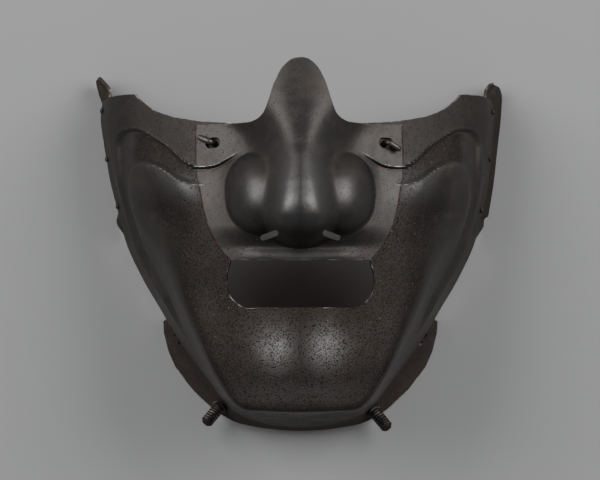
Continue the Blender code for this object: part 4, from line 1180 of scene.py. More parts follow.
@dataclass(frozen=True)
class FacePlate:
    """The sheet with both cheeks, the jaw, the chin and the chin's underside."""

    wall: float = 1.4 * MM
    columns: int = 176
    front_rows: int = 68
    fold_rows: int = 26
    side_rows: int = 18
    hammering: float = 0.10 * MM
    pin_bore: float = 2.9 * MM
    rivet_bore: float = 1.8 * MM

    def sheet(self) -> Sheet:
        """Lays out the plate's outer surface with what its finish reads."""
        places = np.linspace(0.0, len(SECTIONS) - 1.0, self.columns + 1)
        rows = np.concatenate(
            [
                np.linspace(0.0, 1.0, self.front_rows, endpoint=False),
                np.linspace(1.0, 2.0, self.fold_rows, endpoint=False),
                np.linspace(2.0, 3.0, self.side_rows + 1),
            ]
        )
        place, row = np.meshgrid(places, rows)
        smooth = FACE.point(place, row)
        points = FACE.surface(place, row)
        normals = FACE.normal(place, row)
        points = hammered(points, normals, self.hammering, 3.7)
        down = walked(points, 0)
        along = walked(points, 1)
        rim = np.minimum(np.minimum(down, down[-1:] - down), along)
        ridge = FACE.inside(RIDGE, smooth[..., 0], smooth[..., 1])
        front = 1.0 - ease(1.1, 1.9, row)
        inside = ease(0.0, 6.0 * MM, ridge)
        side = ease(0.70, 0.80, smooth[..., 0] / FACE.half_width)
        mottling = 0.15 + 0.85 * front * inside * (1.0 - 0.8 * side)
        low = 1.0 - ease(0.30, 0.55, smooth[..., 1] / FACE.cheek_rise)
        mottling = mottling * (0.45 + 0.55 * low)
        # the extra mottling paints shade into the cheek hollow, the groove and under the chin, and darkens
        # the border
        mottling = np.maximum(mottling, self.painted_shade_places(place, row, smooth))
        # the ridge and arch lines, rubbed wear with a painted highlight
        ridge, crest = rubbed_and_highlight_lines(smooth[..., 0], smooth[..., 1])
        seam = NOSE.beyond_seam(smooth[..., 0], smooth[..., 1])
        # the seam values also carry the painted shade line inside the ridge
        seam = np.minimum(seam, ridge_shade(smooth[..., 0], smooth[..., 1]))
        values = {"rim": rim, "seam": seam, "ridge": ridge, "crest": crest, "mottling": mottling}
        return mirrored_sheet(points, values | {"polish_and_highlight": rubbed_highlight_at(smooth[..., 0], smooth[..., 1])})

    def painted_shade_places(self, place: np.ndarray, row: np.ndarray, smooth: np.ndarray) -> np.ndarray:
        """Gives the extra mottling: painted shade in the cheek hollow and on the chin's underside, rust
        mottling with painted shade in the groove inside the ridge, and a darker border outside the ridge.
        """
        across = smooth[..., 0] / FACE.half_width
        up = smooth[..., 1] / FACE.cheek_rise
        ridge = FACE.inside(RIDGE, smooth[..., 0], smooth[..., 1])
        arch = FACE.inside(ARCH, smooth[..., 0], smooth[..., 1])
        # rust mottling and painted shade in the groove just inside the ridge
        groove = ease(0.0, 1.5 * MM, ridge) * (1.0 - ease(-1.0 * MM, 0.5 * MM, arch))
        groove = 0.9 * groove * ease(0.40, 0.50, across) * (1.0 - ease(0.80, 0.88, across))
        # painted shade in the cheek hollow under the cheekbone
        hollow = 0.95 * PAINTED_SHADE_HOLLOW.weight(across, up)
        # the border band outside the ridge is made darker
        border = 0.5 * ease(0.0, 2.0 * MM, -ridge) * ease(0.10, 0.30, up)
        # painted shade on the chin's underside, which faces away from the lights
        under = 0.9 * ease(9.2, 10.4, place) * ease(1.95, 2.1, row)
        front = 1.0 - ease(1.1, 1.6, row)
        return np.maximum(np.maximum(groove * front, hollow * front), np.maximum(border, under))

    def build(self, finishes: Finishes) -> bpy.types.Object:
        """Builds, bores and dresses the plate."""
        mesh = sheet_mesh("face_plate", self.sheet())
        item = new_object("face_plate_iron", mesh, finishes.shells(finishes.face))
        add_wall(item, self.wall)
        cutters = []
        for side in Side:
            base, axis, _ = TurnPin(side).axis()
            rod = rod_mesh("bore", self.pin_bore, self.wall * 4)
            cutters.append(placed(rod, axis_frame(base, axis)))
            for rise in RIVET_RISES[side]:
                base, axis = GuardRivet(side, rise).axis()
                rod = rod_mesh("bore", self.rivet_bore, self.wall * 8, sides=24)
                cutters.append(placed(rod, axis_frame(base, axis)))
        cut_out(item, cutters)
        ride(item, "face_plate")
        return item


class Bridge(NamedTuple):
    """The nose's ridge at a height, in shares: its height, half width, flatness and rounded crest."""

    up: float
    height: float
    half_width: float
    flatness: float
    crest: float


NOSE_RIDGE = (
    Bridge(1.000, 0.50, 2.10, 3.0, 0.80),
    Bridge(0.870, 0.56, 2.00, 3.0, 0.80),
    Bridge(0.800, 0.60, 1.75, 3.0, 0.80),
    Bridge(0.740, 0.64, 1.42, 3.0, 0.75),
    Bridge(0.680, 0.69, 1.18, 2.8, 0.60),
    Bridge(0.620, 0.75, 1.04, 2.6, 0.30),
    Bridge(0.570, 0.82, 0.98, 2.6, 0.08),
    Bridge(0.510, 0.89, 0.96, 2.8, 0.02),
    Bridge(0.450, 0.95, 0.97, 3.4, 0.03),
    Bridge(0.370, 1.00, 1.00, 4.0, 0.07),
    Bridge(0.310, 0.98, 0.99, 4.8, 0.10),
    Bridge(0.265, 0.90, 0.91, 4.8, 0.14),
    Bridge(0.230, 0.75, 0.79, 4.2, 0.30),
    Bridge(0.200, 0.53, 0.64, 3.4, 0.50),
    Bridge(0.178, 0.28, 0.47, 3.1, 0.80),
    Bridge(0.162, 0.06, 0.34, 3.1, 0.80),
    Bridge(0.150, 0.00, 0.25, 3.1, 0.80),
    Bridge(0.090, 0.00, 0.25, 3.1, 0.80),
)
NOSE_TOP = (
    Point(0.000, 1.000),
    Point(0.090, 0.965),
    Point(0.180, 0.830),
    Point(0.255, 0.600),
    Point(0.305, 0.350),
    Point(0.345, 0.180),
    Point(0.400, 0.085),
    Point(0.480, 0.030),
    Point(0.620, 0.012),
    Point(1.000, 0.000),
)


class Seam(NamedTuple):
    """The nose piece's side seam, a share of the way down: its share of the half width."""

    down: float
    half_width: float


NOSE_SEAMS = (
    Seam(0.00, 1.000),
    Seam(0.36, 1.000),
    Seam(0.50, 0.965),
    Seam(0.64, 0.930),
    Seam(0.76, 0.885),
    Seam(0.87, 0.815),
    Seam(0.95, 0.740),
    Seam(1.00, 0.680),
)


@dataclass(frozen=True)
class NosePiece:
    """The detachable nose with its two flanges, the upper lip, the nostrils and the pins' slots."""

    wall: float = 1.3 * MM
    seat_gap: float = 0.4 * MM
    rise: float = Stand.nose_rise
    flange_half_width: float = 42.3 * MM
    flange_rise: float = 65.0 * MM
    ridge_half_width: float = 15.6 * MM
    ridge_slope: float = 0.22
    height: float = 33.0 * MM
    wing_spread: float = 16.2 * MM
    wing_rise: float = 36.8 * MM
    wing_half_width: float = 14.4 * MM
    wing_inner: float = 8.0 * MM
    wing_half_length: float = 17.4 * MM
    wing_height: float = 17.5 * MM
    wing_dome: float = 0.60
    wing_squareness: float = 2.3
    root_height: float = 9.5 * MM
    root_half_width: float = 26.0 * MM
    root_narrowing: float = 0.30
    softness: float = 4.0
    lip_swell: float = 1.5 * MM
    lip_rise: float = 11.4 * MM
    lip_half_length: float = 3.2 * MM
    nostril_spread: float = 12.6 * MM
    nostril_rise: float = 19.6 * MM
    nostril_width: float = 7.6 * MM
    nostril_length: float = 2.4 * MM
    nostril_depth: float = 30.0 * MM
    nostril_slant: float = 0.35
    slot_length: float = 6.6 * MM
    slot_width: float = 4.5 * MM
    columns: int = 190
    rows: int = 170
    hammering: float = 0.06 * MM

    def bulge(self, x: np.ndarray, y: np.ndarray) -> np.ndarray:
        """Gives how far the nose and its wings stand over the face."""
        place = place_in([-row.up * self.rise for row in NOSE_RIDGE], -y)
        height = through([row.height for row in NOSE_RIDGE], place) * self.height
        half = through([row.half_width for row in NOSE_RIDGE], place) * self.ridge_half_width
        flatness = through([row.flatness for row in NOSE_RIDGE], place)
        crest = through([row.crest for row in NOSE_RIDGE], place) * half
        height = height - self.ridge_slope * (np.hypot(x, crest) - crest)
        ridge = np.maximum(height, 0.0) * np.exp(-(np.abs(x / half) ** flatness))
        across = np.abs(x) - self.wing_spread
        across = np.where(across > 0.0, across / self.wing_half_width, across / self.wing_inner)
        up = (y - self.wing_rise) / self.wing_half_length
        dome = np.maximum(1.0 - across * across - np.abs(up) ** self.wing_squareness, 0.0)
        wing = self.wing_height * dome**self.wing_dome
        narrowing = 1.0 - self.root_narrowing * ease(0.35, 0.72, y / self.rise)
        spread = np.abs(x / (self.root_half_width * narrowing))
        root = self.root_height * np.exp(-(spread**2.4)) * ease(0.15, 0.26, y / self.rise)
        total = ridge**self.softness + wing**self.softness + root**self.softness
        lip = self.lip_swell * np.exp(-(((y - self.lip_rise) / self.lip_half_length) ** 2))
        lip = lip * (1.0 - ease(0.5, 1.0, np.abs(x) / (FACE.mouth_width / 2)))
        return total ** (1.0 / self.softness) + lip

    def seat_slope(self, x: np.ndarray, y: np.ndarray) -> tuple[np.ndarray, np.ndarray]:
        """Gives the slopes of the smooth face along X and along Y."""
        along_x = (FACE.height(x + MM, y) - FACE.height(x - MM, y)) / (2 * MM)
        along_y = (FACE.height(x, y + MM) - FACE.height(x, y - MM)) / (2 * MM)
        return along_x, along_y

    def seat(self, x: np.ndarray, y: np.ndarray) -> np.ndarray:
        """Gives the piece's outer surface where it lies on the face plate."""
        along_x, along_y = self.seat_slope(x, y)
        stretch = np.sqrt(1.0 + along_x * along_x + along_y * along_y)
        return FACE.height(x, y) + (FACE.relief(x, y) + self.seat_gap + self.wall) * stretch

    def seam_half(self, down: np.ndarray) -> np.ndarray:
        """Gives the share of the flanges' half width inside the side seams, a share of the way down."""
        place = place_in([row.down for row in NOSE_SEAMS], down)
        return through([row.half_width for row in NOSE_SEAMS], place)

    def beyond_seam(self, x: np.ndarray, y: np.ndarray) -> np.ndarray:
        """Gives how far points of the face plate lie beyond the piece's side seam."""
        down = (self.flange_rise - y) / (self.flange_rise - FACE.mouth_height / 2)
        beyond = np.abs(x) - self.seam_half(down) * self.flange_half_width
        return np.where((down > 0.0) & (down < 1.0) & (beyond > -MM), np.abs(beyond), FAR)

    def sheet(self) -> Sheet:
        """Lays out the piece's outer surface with what its finish reads."""
        steps = np.linspace(-1.0, 1.0, self.columns + 1)
        across, down = np.meshgrid(steps, np.linspace(0.0, 1.0, self.rows + 1))
        lip = FACE.mouth_height / 2
        half = self.seam_half(down)
        x = across * half * self.flange_half_width
        place = place_in([row.across for row in NOSE_TOP], np.abs(across * half))
        share = through([row.up for row in NOSE_TOP], place)
        top = self.flange_rise + share * (self.rise - self.flange_rise)
        y = top + (lip - top) * down
        z = self.seat(x, y) + self.bulge(x, y)
        points = FACE.pushed(np.stack([x, y, z], axis=-1))
        points = hammered(points, grid_normals(points), self.hammering, 11.3)
        # the ridge's line, rubbed wear with a painted highlight
        ridge, crest = rubbed_and_highlight_lines(x, y)
        mottling = 0.35 + 0.5 * (1.0 - ease(0.10, 0.30, y / self.rise))
        down = walked(points, 0)
        across = walked(points, 1)
        rim = np.minimum(down, down[-1:] - down)
        # the piece's side seams, and the painted shade line inside the ridge
        seam = np.minimum(np.minimum(across, across[:, -1:] - across), ridge_shade(x, y))
        values = {"rim": rim, "seam": seam, "ridge": ridge, "crest": crest, "mottling": mottling}
        return Sheet(points, values | {"polish_and_highlight": rubbed_highlight_at(x, y)})

    def build(self, finishes: Finishes) -> bpy.types.Object:
        """Builds, cuts and dresses the piece."""
        mesh = sheet_mesh("nose_piece", self.sheet())
        item = new_object("nose_piece_iron", mesh, finishes.shells(finishes.nose))
        add_wall(item, self.wall)
        cutters = []
        for side in Side:
            x = np.array(side.sign * self.nostril_spread)
            y = np.array(self.nostril_rise)
            height = float(self.seat(x, y) + self.bulge(x, y))
            stretch = self.nostril_width - self.nostril_length
            rod = rod_mesh("nostril", self.nostril_length, self.nostril_depth, stretch)
            axis = Vector((0.0, 0.0, 1.0))
            slant = Vector((1.0, -side.sign * self.nostril_slant, 0.0))
            cutters.append(placed(rod, axis_frame(Vector((x, y, height)), axis, slant)))
            base, axis, _ = TurnPin(side).axis()
            rod = rod_mesh("slot", self.slot_width, self.wall * 4, self.slot_length - self.slot_width)
            middle = base + axis * (self.seat_gap + self.wall / 2)
            cutters.append(placed(rod, axis_frame(middle, axis, Vector((1.0, 0.0, 0.0)))))
        cut_out(item, cutters)
        ride(item, "nose_piece")
        return item


NOSE = NosePiece()


@dataclass(frozen=True)
class TurnPin:
    """A turning pin: a foot behind the face plate, a shank through it and a bent arm."""

    side: Side
    diameter: float = 2.6 * MM
    spread: float = 34.8 * MM
    rise: float = 57.2 * MM
    arm: float = 6.2 * MM
    bend: float = 1.4 * MM
    head_lift: float = 0.9 * MM
    foot_diameter: float = 3.8 * MM
    foot_height: float = 0.8 * MM
    foot_gap: float = 0.3 * MM
    turn_left: float = 157.0
    turn_right: float = -27.0
    sides: int = 24

    def axis(self) -> tuple[Vector, Vector, Vector]:
        """Gives where the pin's axis leaves the face plate, its direction and the arm's."""
        x = np.array(self.side.sign * self.spread)
        y = np.array(self.rise)
        along_x, along_y = NOSE.seat_slope(x, y)
        direction = Vector((-float(along_x), -float(along_y), 1.0)).normalized()
        point = np.array([float(x), float(y), float(FACE.height(x, y))])
        base = Vector(FACE.pushed(point)) + direction * float(FACE.relief(x, y))
        turn = math.radians(self.turn_left if self.side is Side.LEFT else self.turn_right)
        return base, direction, Vector((math.cos(turn), math.sin(turn), 0.0))

    def build(self, finishes: Finishes) -> bpy.types.Object:
        """Builds the pin by extruding a circle up its shank, round its bend and along its arm."""
        foot = -FacePlate().wall - self.foot_gap
        level = NOSE.seat_gap + NOSE.wall + self.head_lift + self.diameter / 2
        radius = self.diameter / 2
        work = bmesh.new()
        bmesh.ops.create_circle(work, cap_ends=True, radius=self.foot_diameter / 2, segments=self.sides)
        bmesh.ops.translate(work, vec=(0.0, 0.0, foot - self.foot_height), verts=work.verts)
        bmesh.ops.reverse_faces(work, faces=work.faces)
        loop = list(work.edges)

        def extrude(move: tuple[float, float, float], scale: float = 1.0) -> None:
            """Draws the open end on and may make it wider or narrower about its middle."""
            nonlocal loop
            made = bmesh.ops.extrude_edge_only(work, edges=loop)["geom"]
            points = [part for part in made if isinstance(part, bmesh.types.BMVert)]
            loop = [
                part
                for part in made
                if isinstance(part, bmesh.types.BMEdge) and all(point in points for point in part.verts)
            ]
            bmesh.ops.translate(work, vec=move, verts=points)
            middle = sum((point.co for point in points), Vector()) / len(points)
            bmesh.ops.scale(work, vec=(scale, scale, scale), space=Matrix.Translation(-middle), verts=points)

        extrude((0.0, 0.0, self.foot_height))
        extrude((0.0, 0.0, 0.0), self.diameter / self.foot_diameter)
        extrude((0.0, 0.0, level - self.bend - foot))
        spun = bmesh.ops.spin(
            work,
            geom=loop,
            cent=(self.bend, 0.0, level - self.bend),
            axis=(0.0, 1.0, 0.0),
            angle=math.pi / 2,
            steps=8,
        )
        loop = [part for part in spun["geom_last"] if isinstance(part, bmesh.types.BMEdge)]
        extrude((self.arm - self.bend - radius * 0.55, 0.0, 0.0), 0.94)
        extrude((radius * 0.35, 0.0, 0.0), 0.84)
        extrude((radius * 0.20, 0.0, 0.0), 0.62)
        bmesh.ops.contextual_create(work, geom=loop)
        bmesh.ops.remove_doubles(work, verts=work.verts, dist=0.000005)
        bmesh.ops.recalc_face_normals(work, faces=work.faces)
        mesh = bpy.data.meshes.new("turn_pin")
        work.to_mesh(mesh)
        work.free()
        add_values(mesh, plain_values(np.full(len(mesh.vertices), FAR), 0.4))
        base, axis, arm = self.axis()
        mesh = placed(mesh, axis_frame(base, axis, arm))
        item = new_object(f"turn_pin_{self.side.value}_iron", mesh, [finishes.pin])
        settle(item)
        ride(item, f"turn_pin_{self.side.value}", f"pin_{self.side.value}")
        return item


class Flare(NamedTuple):
    """The throat flange at a place round the plate: how far it spreads and where its edge stands."""

    place: float
    flare: float
    depth: float


FLANGE = (
    Flare(7.35, 2.0 * MM, 0.2 * MM),
    Flare(7.60, 5.0 * MM, -0.6 * MM),
    Flare(8.00, 7.8 * MM, -0.6 * MM),
    Flare(8.50, 8.2 * MM, 0.4 * MM),
    Flare(9.00, 8.0 * MM, 1.8 * MM),
    Flare(9.50, 6.4 * MM, 3.6 * MM),
    Flare(10.0, 4.4 * MM, 5.6 * MM),
    Flare(11.0, 2.6 * MM, 9.0 * MM),
    Flare(12.0, 2.2 * MM, 10.0 * MM),
)


def rear_line(place: np.ndarray) -> tuple[np.ndarray, np.ndarray, np.ndarray]:
    """Gives the rear edge at a place, the way up the wall there and the wall's outward normal."""
    place = np.asarray(place, float)
    rear = FACE.surface(place, np.full(place.shape, 3.0))
    up = unit(FACE.surface(place, np.full(place.shape, 2.6)) - rear)
    return rear, up, FACE.normal(place, np.full(place.shape, 2.98))


@dataclass(frozen=True)
class ThroatFlange:
    """The flared strip behind the jaw, with three lacing holes at each end."""

    wall: float = 1.3 * MM
    lap: float = 4.5 * MM
    bend: float = 0.62
    gap: float = 0.3 * MM
    lace_hole: float = 2.3 * MM
    lace_pitch: float = 3.8 * MM
    lace_start: float = 4.2 * MM
    lace_count: int = 3
    lace_share: float = 1.42
    peg_bore: float = 3.0 * MM
    columns: int = 150
    lap_rows: int = 6
    flare_rows: int = 26
    hammering: float = 0.05 * MM

    def point(self, place: np.ndarray, share: np.ndarray) -> np.ndarray:
        """Gives points of the outer surface: share 0 to 1 lies inside the wall, 1 to 2 in the flare."""
        place, share = np.broadcast_arrays(np.asarray(place, float), np.asarray(share, float))
        rear, up, outward = rear_line(place)
        start = rear - outward * (FacePlate().wall + self.gap)
        keys = place_in([row.place for row in FLANGE], place)
        flare = through([row.flare for row in FLANGE], keys)
        depth = through([row.depth for row in FLANGE], keys)
        level = outward.copy()
        level[..., 2] = 0.0
        end = rear + unit(level) * flare[..., None]
        end[..., 2] = depth
        bend = start - up * ((start[..., 2] - depth) * self.bend)[..., None]
        part = np.clip(share - 1.0, 0.0, 1.0)
        curved = mix(mix(start, bend, part), mix(bend, end, part), part)
        straight = start + up * (self.lap * (1.0 - share))[..., None]
        return np.where((share <= 1.0)[..., None], straight, curved)

    def normal(self, place: float, share: float) -> np.ndarray:
        """Gives the outward direction at a place."""
        step = 0.02
        along = self.point(place + step, share) - self.point(place - step, share)
        down = self.point(place, share + step) - self.point(place, share - step)
        return unit(np.cross(along, down))

    def holes(self) -> list[float]:
        """Gives the places of the lacing holes at one end."""
        places = np.linspace(FLANGE[0].place, FLANGE[0].place + 2.0, 400)
        way = walked(self.point(places, np.full(400, self.lace_share)), 0)
        targets = [self.lace_start + self.lace_pitch * number for number in range(self.lace_count)]
        return [float(np.interp(target, way, places)) for target in targets]

    def build(self, finishes: Finishes) -> bpy.types.Object:
        """Builds, pierces and dresses the flange."""
        places = np.linspace(FLANGE[0].place, len(SECTIONS) - 1.0, self.columns + 1)
        shares = np.concatenate(
            [np.linspace(0.0, 1.0, self.lap_rows, endpoint=False), np.linspace(1.0, 2.0, self.flare_rows + 1)]
        )
        place, share = np.meshgrid(places, shares)
        points = self.point(place, share)
        down = walked(points, 0)
        along = walked(points, 1)
        rim = np.minimum(np.minimum(down, down[-1:] - down), along)
        values = plain_values(rim, 0.6)
        sheet = mirrored_sheet(points, values)
        points = hammered(sheet.points, grid_normals(sheet.points), self.hammering, 23.1)
        mesh = sheet_mesh("throat_flange", Sheet(points, sheet.values))
        item = new_object("throat_flange_iron", mesh, finishes.shells(finishes.flange))
        add_wall(item, self.wall)
        cutters = [floor_block()]
        for side in Side:
            for place in self.holes():
                rod = rod_mesh("lace_hole", self.lace_hole, self.wall * 4, sides=24)
                centre = pushed_point(self.point(place, self.lace_share), side)
                axis = mirrored(self.normal(place, self.lace_share), side)
                cutters.append(placed(rod, axis_frame(centre, axis)))
            base, axis = CordPeg(side).axis()
            rod = rod_mesh("peg_bore", self.peg_bore, self.wall * 4, sides=24)
            cutters.append(placed(rod, axis_frame(base, axis)))
        cut_out(item, cutters)
        ride(item, "throat_flange")
        return item


FLANGE_SHEET = ThroatFlange()


def floor_block() -> bpy.types.Mesh:
    """Makes the block that trims the resting edges flat."""
    block = bmesh.new()
    bmesh.ops.create_cube(block, size=1.0)
    bmesh.ops.scale(block, vec=(0.4, 0.4, 0.08), verts=block.verts)
    bmesh.ops.translate(block, vec=(0.0, 0.0, -0.04), verts=block.verts)
    mesh = bpy.data.meshes.new("floor_block")
    block.to_mesh(mesh)
    block.free()
    return mesh


PEG_PLACES = {Side.LEFT: 9.66, Side.RIGHT: 9.88}


@dataclass(frozen=True)
class CordPeg:
    """A ribbed peg with its collar, and the shank and foot that hold it in the flange."""

    side: Side
    diameter: float = 5.3 * MM
    length: float = 10.6 * MM
    ribs: int = 7
    groove: float = 0.6 * MM
    collar: float = 6.6 * MM
    collar_height: float = 0.8 * MM
    shank: float = 2.4 * MM
    foot: float = 4.2 * MM
    foot_height: float = 0.9 * MM
    share: float = 1.68
    lift_off: float = 0.45 * MM
    heading: float = 50.0
    lift: float = 32.0
    rub_width: float = 0.12 * MM
    rib_steps: int = 12
    sides: int = 40

    def direction(self) -> Vector:
        """Gives the direction of a peg on the right-hand half."""
        heading = math.radians(self.heading)
        lift = math.radians(self.lift)
        level = math.cos(lift)
        return Vector((math.cos(heading) * level, -math.sin(heading) * level, math.sin(lift)))

    def axis(self) -> tuple[Vector, Vector]:
        """Gives where the peg stands on the flange, and its direction."""
        base = pushed_point(FLANGE_SHEET.point(PEG_PLACES[self.side], self.share), self.side)
        return base, mirrored(self.direction(), self.side)

    def tilt(self) -> float:
        """Gives the angle between the peg and the flange's outward normal."""
        return self.direction().angle(Vector(FLANGE_SHEET.normal(PEG_PLACES[self.side], self.share)))

    def seat(self) -> float:
        """Gives how far its tilted collar stands off the flange, along the peg."""
        return self.lift_off + self.collar / 2 * math.tan(self.tilt())

    def profile(self) -> list[tuple[float, float]]:
        """Gives the outline that is spun, from the tip down to the foot."""
        radius = self.diameter / 2
        pitch = (self.length - self.collar_height) / (self.ribs + 0.5)
        points = [
            (0.0, self.length),
            (radius * 0.45, self.length - pitch * 0.03),
            (radius * 0.70, self.length - pitch * 0.15),
        ]
        for rib in range(self.ribs, 0, -1):
            top = self.collar_height + pitch * rib
            for step in range(self.rib_steps):
                turn = math.tau * step / self.rib_steps
                drop = 0.5 + 0.5 * math.cos(turn)
                across = radius - self.groove * (1.0 - drop**0.6)
                points.append((across, top - pitch * (0.45 + step / self.rib_steps)))
        points = [point for point in points if point[1] > self.collar_height + 0.1 * MM]
        tilt = self.tilt()
        foot = -self.seat() - FLANGE_SHEET.wall / math.cos(tilt)
        foot = foot - self.foot / 2 * math.tan(tilt) - FLANGE_SHEET.gap
        return points + [
            (self.collar / 2 * 0.86, self.collar_height),
            (self.collar / 2, self.collar_height * 0.7),
            (self.collar / 2, 0.0),
            (self.shank / 2, 0.0),
            (self.shank / 2, foot),
            (self.foot / 2, foot),
            (self.foot / 2, foot - self.foot_height),
            (0.0, foot - self.foot_height),
        ]

    def build(self, finishes: Finishes) -> bpy.types.Object:
        """Builds and dresses the peg."""
        mesh = turned_mesh("cord_peg", self.profile(), self.sides)
        radius = self.diameter / 2
        rim = [radius - math.hypot(point.co.x, point.co.y) + self.rub_width for point in mesh.vertices]
        add_values(mesh, plain_values(np.maximum(rim, self.rub_width), 0.8))
        base, axis = self.axis()
        mesh = placed(mesh, axis_frame(base + axis * self.seat(), axis))
        item = new_object(f"cord_peg_{self.side.value}_iron", mesh, [finishes.peg])
        settle(item)
        ride(item, f"cord_peg_{self.side.value}")
        return item


class Bend(NamedTuple):
    """How one side's guard is set and bent."""

    top: float
    tail_middle: float
    splay: float
    tip_flare: float
    tail_flare: float


GUARD_BENDS = {
    Side.LEFT: Bend(86.2 * MM, 0.50, -1.6 * MM, 4.2 * MM, 4.2 * MM),
    Side.RIGHT: Bend(83.5 * MM, 0.80, 3.2 * MM, 2.5 * MM, 0.8 * MM),
}


@dataclass(frozen=True)
class CordGuard:
    """A leaf-shaped cord guard, riveted inside the rear edge of a cheek."""

    side: Side
    wall: float = 1.2 * MM
    length: float = 66.5 * MM
    tab: float = 57.2 * MM
    lap: float = 7.5 * MM
    tip_depth: float = 8.0 * MM
    tip_length: float = 13.0 * MM
    tail_length: float = 7.5 * MM
    tail_drop: float = 1.2 * MM
    foot: float = 0.6 * MM
    knee: float = 0.7 * MM
    rows: int = 150
    strips: int = 12
    hammering: float = 0.05 * MM

    def points(self, height: np.ndarray, depth: np.ndarray, knee: np.ndarray) -> np.ndarray:
        """Gives points of the outer surface.

        Args:
            height: How high on the cheek the points lie.
            depth: How far over the floor they stand.
            knee: The depth below which the guard bends away from the cheek.

        Returns:
            An array of points on the guard's own side.
        """
        bend = GUARD_BENDS[self.side]
        rear, up, outward = rear_line(rear_places(height))
        inset = (FacePlate().wall + FLANGE_SHEET.gap) / np.hypot(outward[..., 0], outward[..., 2])
        x = rear[..., 0] - up[..., 0] / up[..., 2] * (rear[..., 2] - depth) - inset
        past = np.maximum(knee - depth, 0.0)
        x = x + bend.splay * (past / rear[..., 2]) ** 1.3
        free = ease(0.0, 5.0 * MM, past)
        corner = FACE.cheek_rise * SECTIONS[0].rear_up
        tip = ease(corner - 10.0 * MM, bend.top, height) * free
        tip = np.maximum(tip, ease(corner + 2.0 * MM, bend.top + 2.0 * MM, height))
        tail = ease(bend.top - self.tab + 4.0 * MM, bend.top - self.length, height) * free
        x = x + np.maximum(bend.tip_flare * tip, bend.tail_flare * tail)
        return FACE.pushed(np.stack([x * self.side.sign, height, depth], axis=-1))

    def sheet(self) -> Sheet:
        """Lays out the guard's outer surface."""
        bend = GUARD_BENDS[self.side]
        share = np.linspace(0.0, 1.0, self.rows + 1)
        eased = 0.5 - 0.5 * np.cos(math.pi * share)
        walk = (share * 0.6 + eased * 0.4) * self.length
        height = bend.top - walk
        lap_front = SECTIONS[2].rear_depth * FACE.depth + self.lap
        tail_front = SECTIONS[4].rear_depth * FACE.depth - self.tail_drop
        front = tail_front + (lap_front - tail_front) * ease(0.0, 2.5 * MM, self.tab - walk)
        upper = walk < self.length / 2
        end = np.where(upper, self.tip_length, self.tail_length)
        from_end = np.minimum(np.minimum(walk, self.length - walk) / end, 1.0)
        opening = np.where(upper, np.sqrt(1.0 - (1.0 - from_end) ** 2), from_end) * 0.86 + 0.14
        middle = np.where(upper, self.tip_depth, tail_front * bend.tail_middle)
        high = middle + (front - middle) * opening
        low = middle + (-self.foot - middle) * opening
        knee = rear_line(rear_places(height))[0][..., 2] - self.knee
        knee = np.minimum(knee, low + (high - low) * 0.6)
        steps = np.linspace(0.0, 1.0, self.strips + 1)
        below = low[:, None] + (knee - low)[:, None] * steps[:-1]
        above = knee[:, None] + (high - knee)[:, None] * steps
        depth = np.concatenate([below, above], axis=1)
        points = self.points(height[:, None] + depth * 0.0, depth, knee[:, None] + depth * 0.0)
        if self.side is Side.RIGHT:
            points = points[:, ::-1]
        points = hammered(points, grid_normals(points), self.hammering, 31.0 + self.side.sign)
        rim = rim_distance(points)
        return Sheet(points, plain_values(rim, 0.5))

    def build(self, finishes: Finishes) -> bpy.types.Object:
        """Builds, bores and dresses the guard."""
        mesh = sheet_mesh("cord_guard", self.sheet())
        item = new_object(f"cord_guard_{self.side.value}_iron", mesh, finishes.shells(finishes.guard))
        add_wall(item, self.wall)
        cutters = [floor_block()]
        for rise in RIVET_RISES[self.side]:
            base, axis = GuardRivet(self.side, rise).axis()
            rod = rod_mesh("bore", FacePlate().rivet_bore, self.wall * 8, sides=24)
            cutters.append(placed(rod, axis_frame(base, axis)))
        cut_out(item, cutters)
        ride(item, f"cord_guard_{self.side.value}")
        return item


def rear_places(height: np.ndarray) -> np.ndarray:
    """Finds the section places whose rear edge lies at heights on the cheek."""
    places = np.linspace(0.0, 8.0, 1600)
    heights = FACE.point(places, np.full(places.shape, 3.0))[..., 1]
    return np.interp(-np.asarray(height), -heights, places)


RIVET_RISES = {
    Side.LEFT: (72.0 * MM, 51.8 * MM, 31.8 * MM),
    Side.RIGHT: (71.5 * MM, 51.8 * MM, 30.1 * MM),
}


@dataclass(frozen=True)
class GuardRivet:
    """A rivet of a cord guard: a round head outside, a shank and a small foot inside."""

    side: Side
    rise: float
    shank: float = 1.2 * MM
    head: float = 2.4 * MM
    head_height: float = 0.8 * MM
    inset: float = 3.9 * MM
    sides: int = 28

    def axis(self) -> tuple[Vector, Vector]:
        """Gives where the rivet stands on the cheek's border, and its direction."""
        rear, up, outward = rear_line(rear_places(np.array(self.rise)))
        return pushed_point(rear + up * self.inset, self.side), mirrored(outward, self.side)

    def build(self, finishes: Finishes, number: int) -> bpy.types.Object:
        """Builds and dresses the rivet."""
        radius = self.head / 2
        dome = [
            (radius * math.sin(turn), self.head_height * math.cos(turn))
            for turn in np.linspace(0.0, math.pi / 2, 8)
        ]
        gap = FLANGE_SHEET.gap
        foot = -FacePlate().wall - CordGuard(self.side).wall - 3 * gap
        profile = dome + [
            (self.shank / 2, 0.0),
            (self.shank / 2, foot),
            (radius * 0.85, foot),
            (radius * 0.85, foot - self.head_height * 0.6),
            (0.0, foot - self.head_height * 0.6),
        ]
        mesh = turned_mesh("guard_rivet", profile, self.sides)
        add_values(mesh, plain_values(np.full(len(mesh.vertices), FAR), 0.7))
        base, axis = self.axis()
        mesh = placed(mesh, axis_frame(base + axis * gap, axis))
        name = f"guard_rivet_{self.side.value}_{number}"
        item = new_object(name + "_iron", mesh, [finishes.guard])
        settle(item)
        ride(item, name)
        return item


# Studio


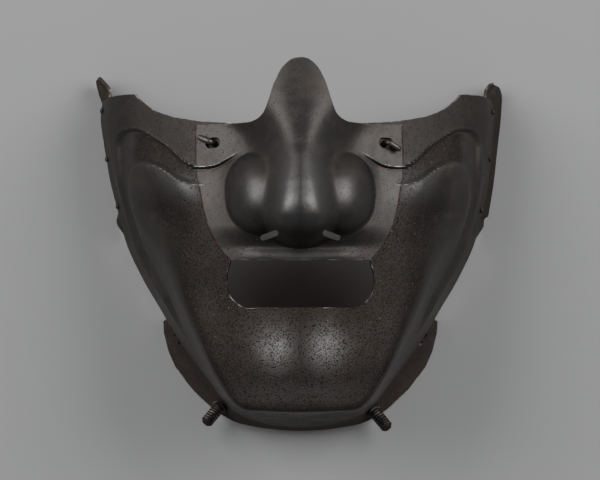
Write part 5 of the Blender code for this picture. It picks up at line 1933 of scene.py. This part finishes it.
@dataclass(frozen=True)
class Studio:
    """The pale floor, the soft lights and the camera over the guard."""

    floor_size: float = 6.0
    camera_height: float = 1.8
    lens: float = 254.0
    view_centre: tuple[float, float] = (0.28 * MM, 3.3 * MM)
    softbox_place: tuple[float, float, float] = (1.35, 0.75, 1.30)
    softbox_size: tuple[float, float] = (1.4, 1.4)
    side_power: float = 32.0
    sky: Colour = (0.80, 0.82, 0.85)
    sky_strength: float = 0.25

    def floor(self) -> None:
        """Lays the floor."""
        work = bmesh.new()
        bmesh.ops.create_grid(work, x_segments=1, y_segments=1, size=self.floor_size / 2)
        mesh = bpy.data.meshes.new("floor")
        work.to_mesh(mesh)
        work.free()
        new_object("floor", mesh, [FloorPaper().material()])

    def light(self, side: Side) -> None:
        """Hangs a soft rectangular light on one side, facing the guard."""
        name = f"{side.value}_softbox"
        lamp = bpy.data.lights.new(name, "AREA")
        lamp.shape = "RECTANGLE"
        lamp.size, lamp.size_y = self.softbox_size
        lamp.energy = self.side_power
        item = bpy.data.objects.new(name, lamp)
        item.location = mirrored(self.softbox_place, side)
        item.rotation_euler = (-mirrored(self.softbox_place, side)).to_track_quat("-Z", "Y").to_euler()
        bpy.context.scene.collection.objects.link(item)

    def build(self) -> None:
        """Sets up the floor, the lights, the surroundings and the camera."""
        self.floor()
        for side in Side:
            self.light(side)
        world = bpy.data.worlds.new("studio")
        world.use_nodes = True
        background = world.node_tree.nodes["Background"]
        background.inputs["Color"].default_value = opaque(self.sky)
        background.inputs["Strength"].default_value = self.sky_strength
        bpy.context.scene.world = world
        camera = bpy.data.cameras.new("camera")
        camera.lens = self.lens
        camera.sensor_width = 36.0
        camera.clip_end = 20.0
        item = bpy.data.objects.new("camera", camera)
        item.location = (*self.view_centre, self.camera_height)
        bpy.context.scene.collection.objects.link(item)
        bpy.context.scene.camera = item


def main() -> None:
    """Builds the guard's looks and the studio."""
    logging.basicConfig(level=logging.INFO, format="%(message)s")
    finishes = Finishes()
    FacePlate().build(finishes)
    NOSE.build(finishes)
    FLANGE_SHEET.build(finishes)
    for side in Side:
        TurnPin(side).build(finishes)
        CordPeg(side).build(finishes)
        CordGuard(side).build(finishes)
        for number, rise in enumerate(RIVET_RISES[side], start=1):
            GuardRivet(side, rise).build(finishes, number)
    Studio().build()


if __name__ == "__main__":
    main()
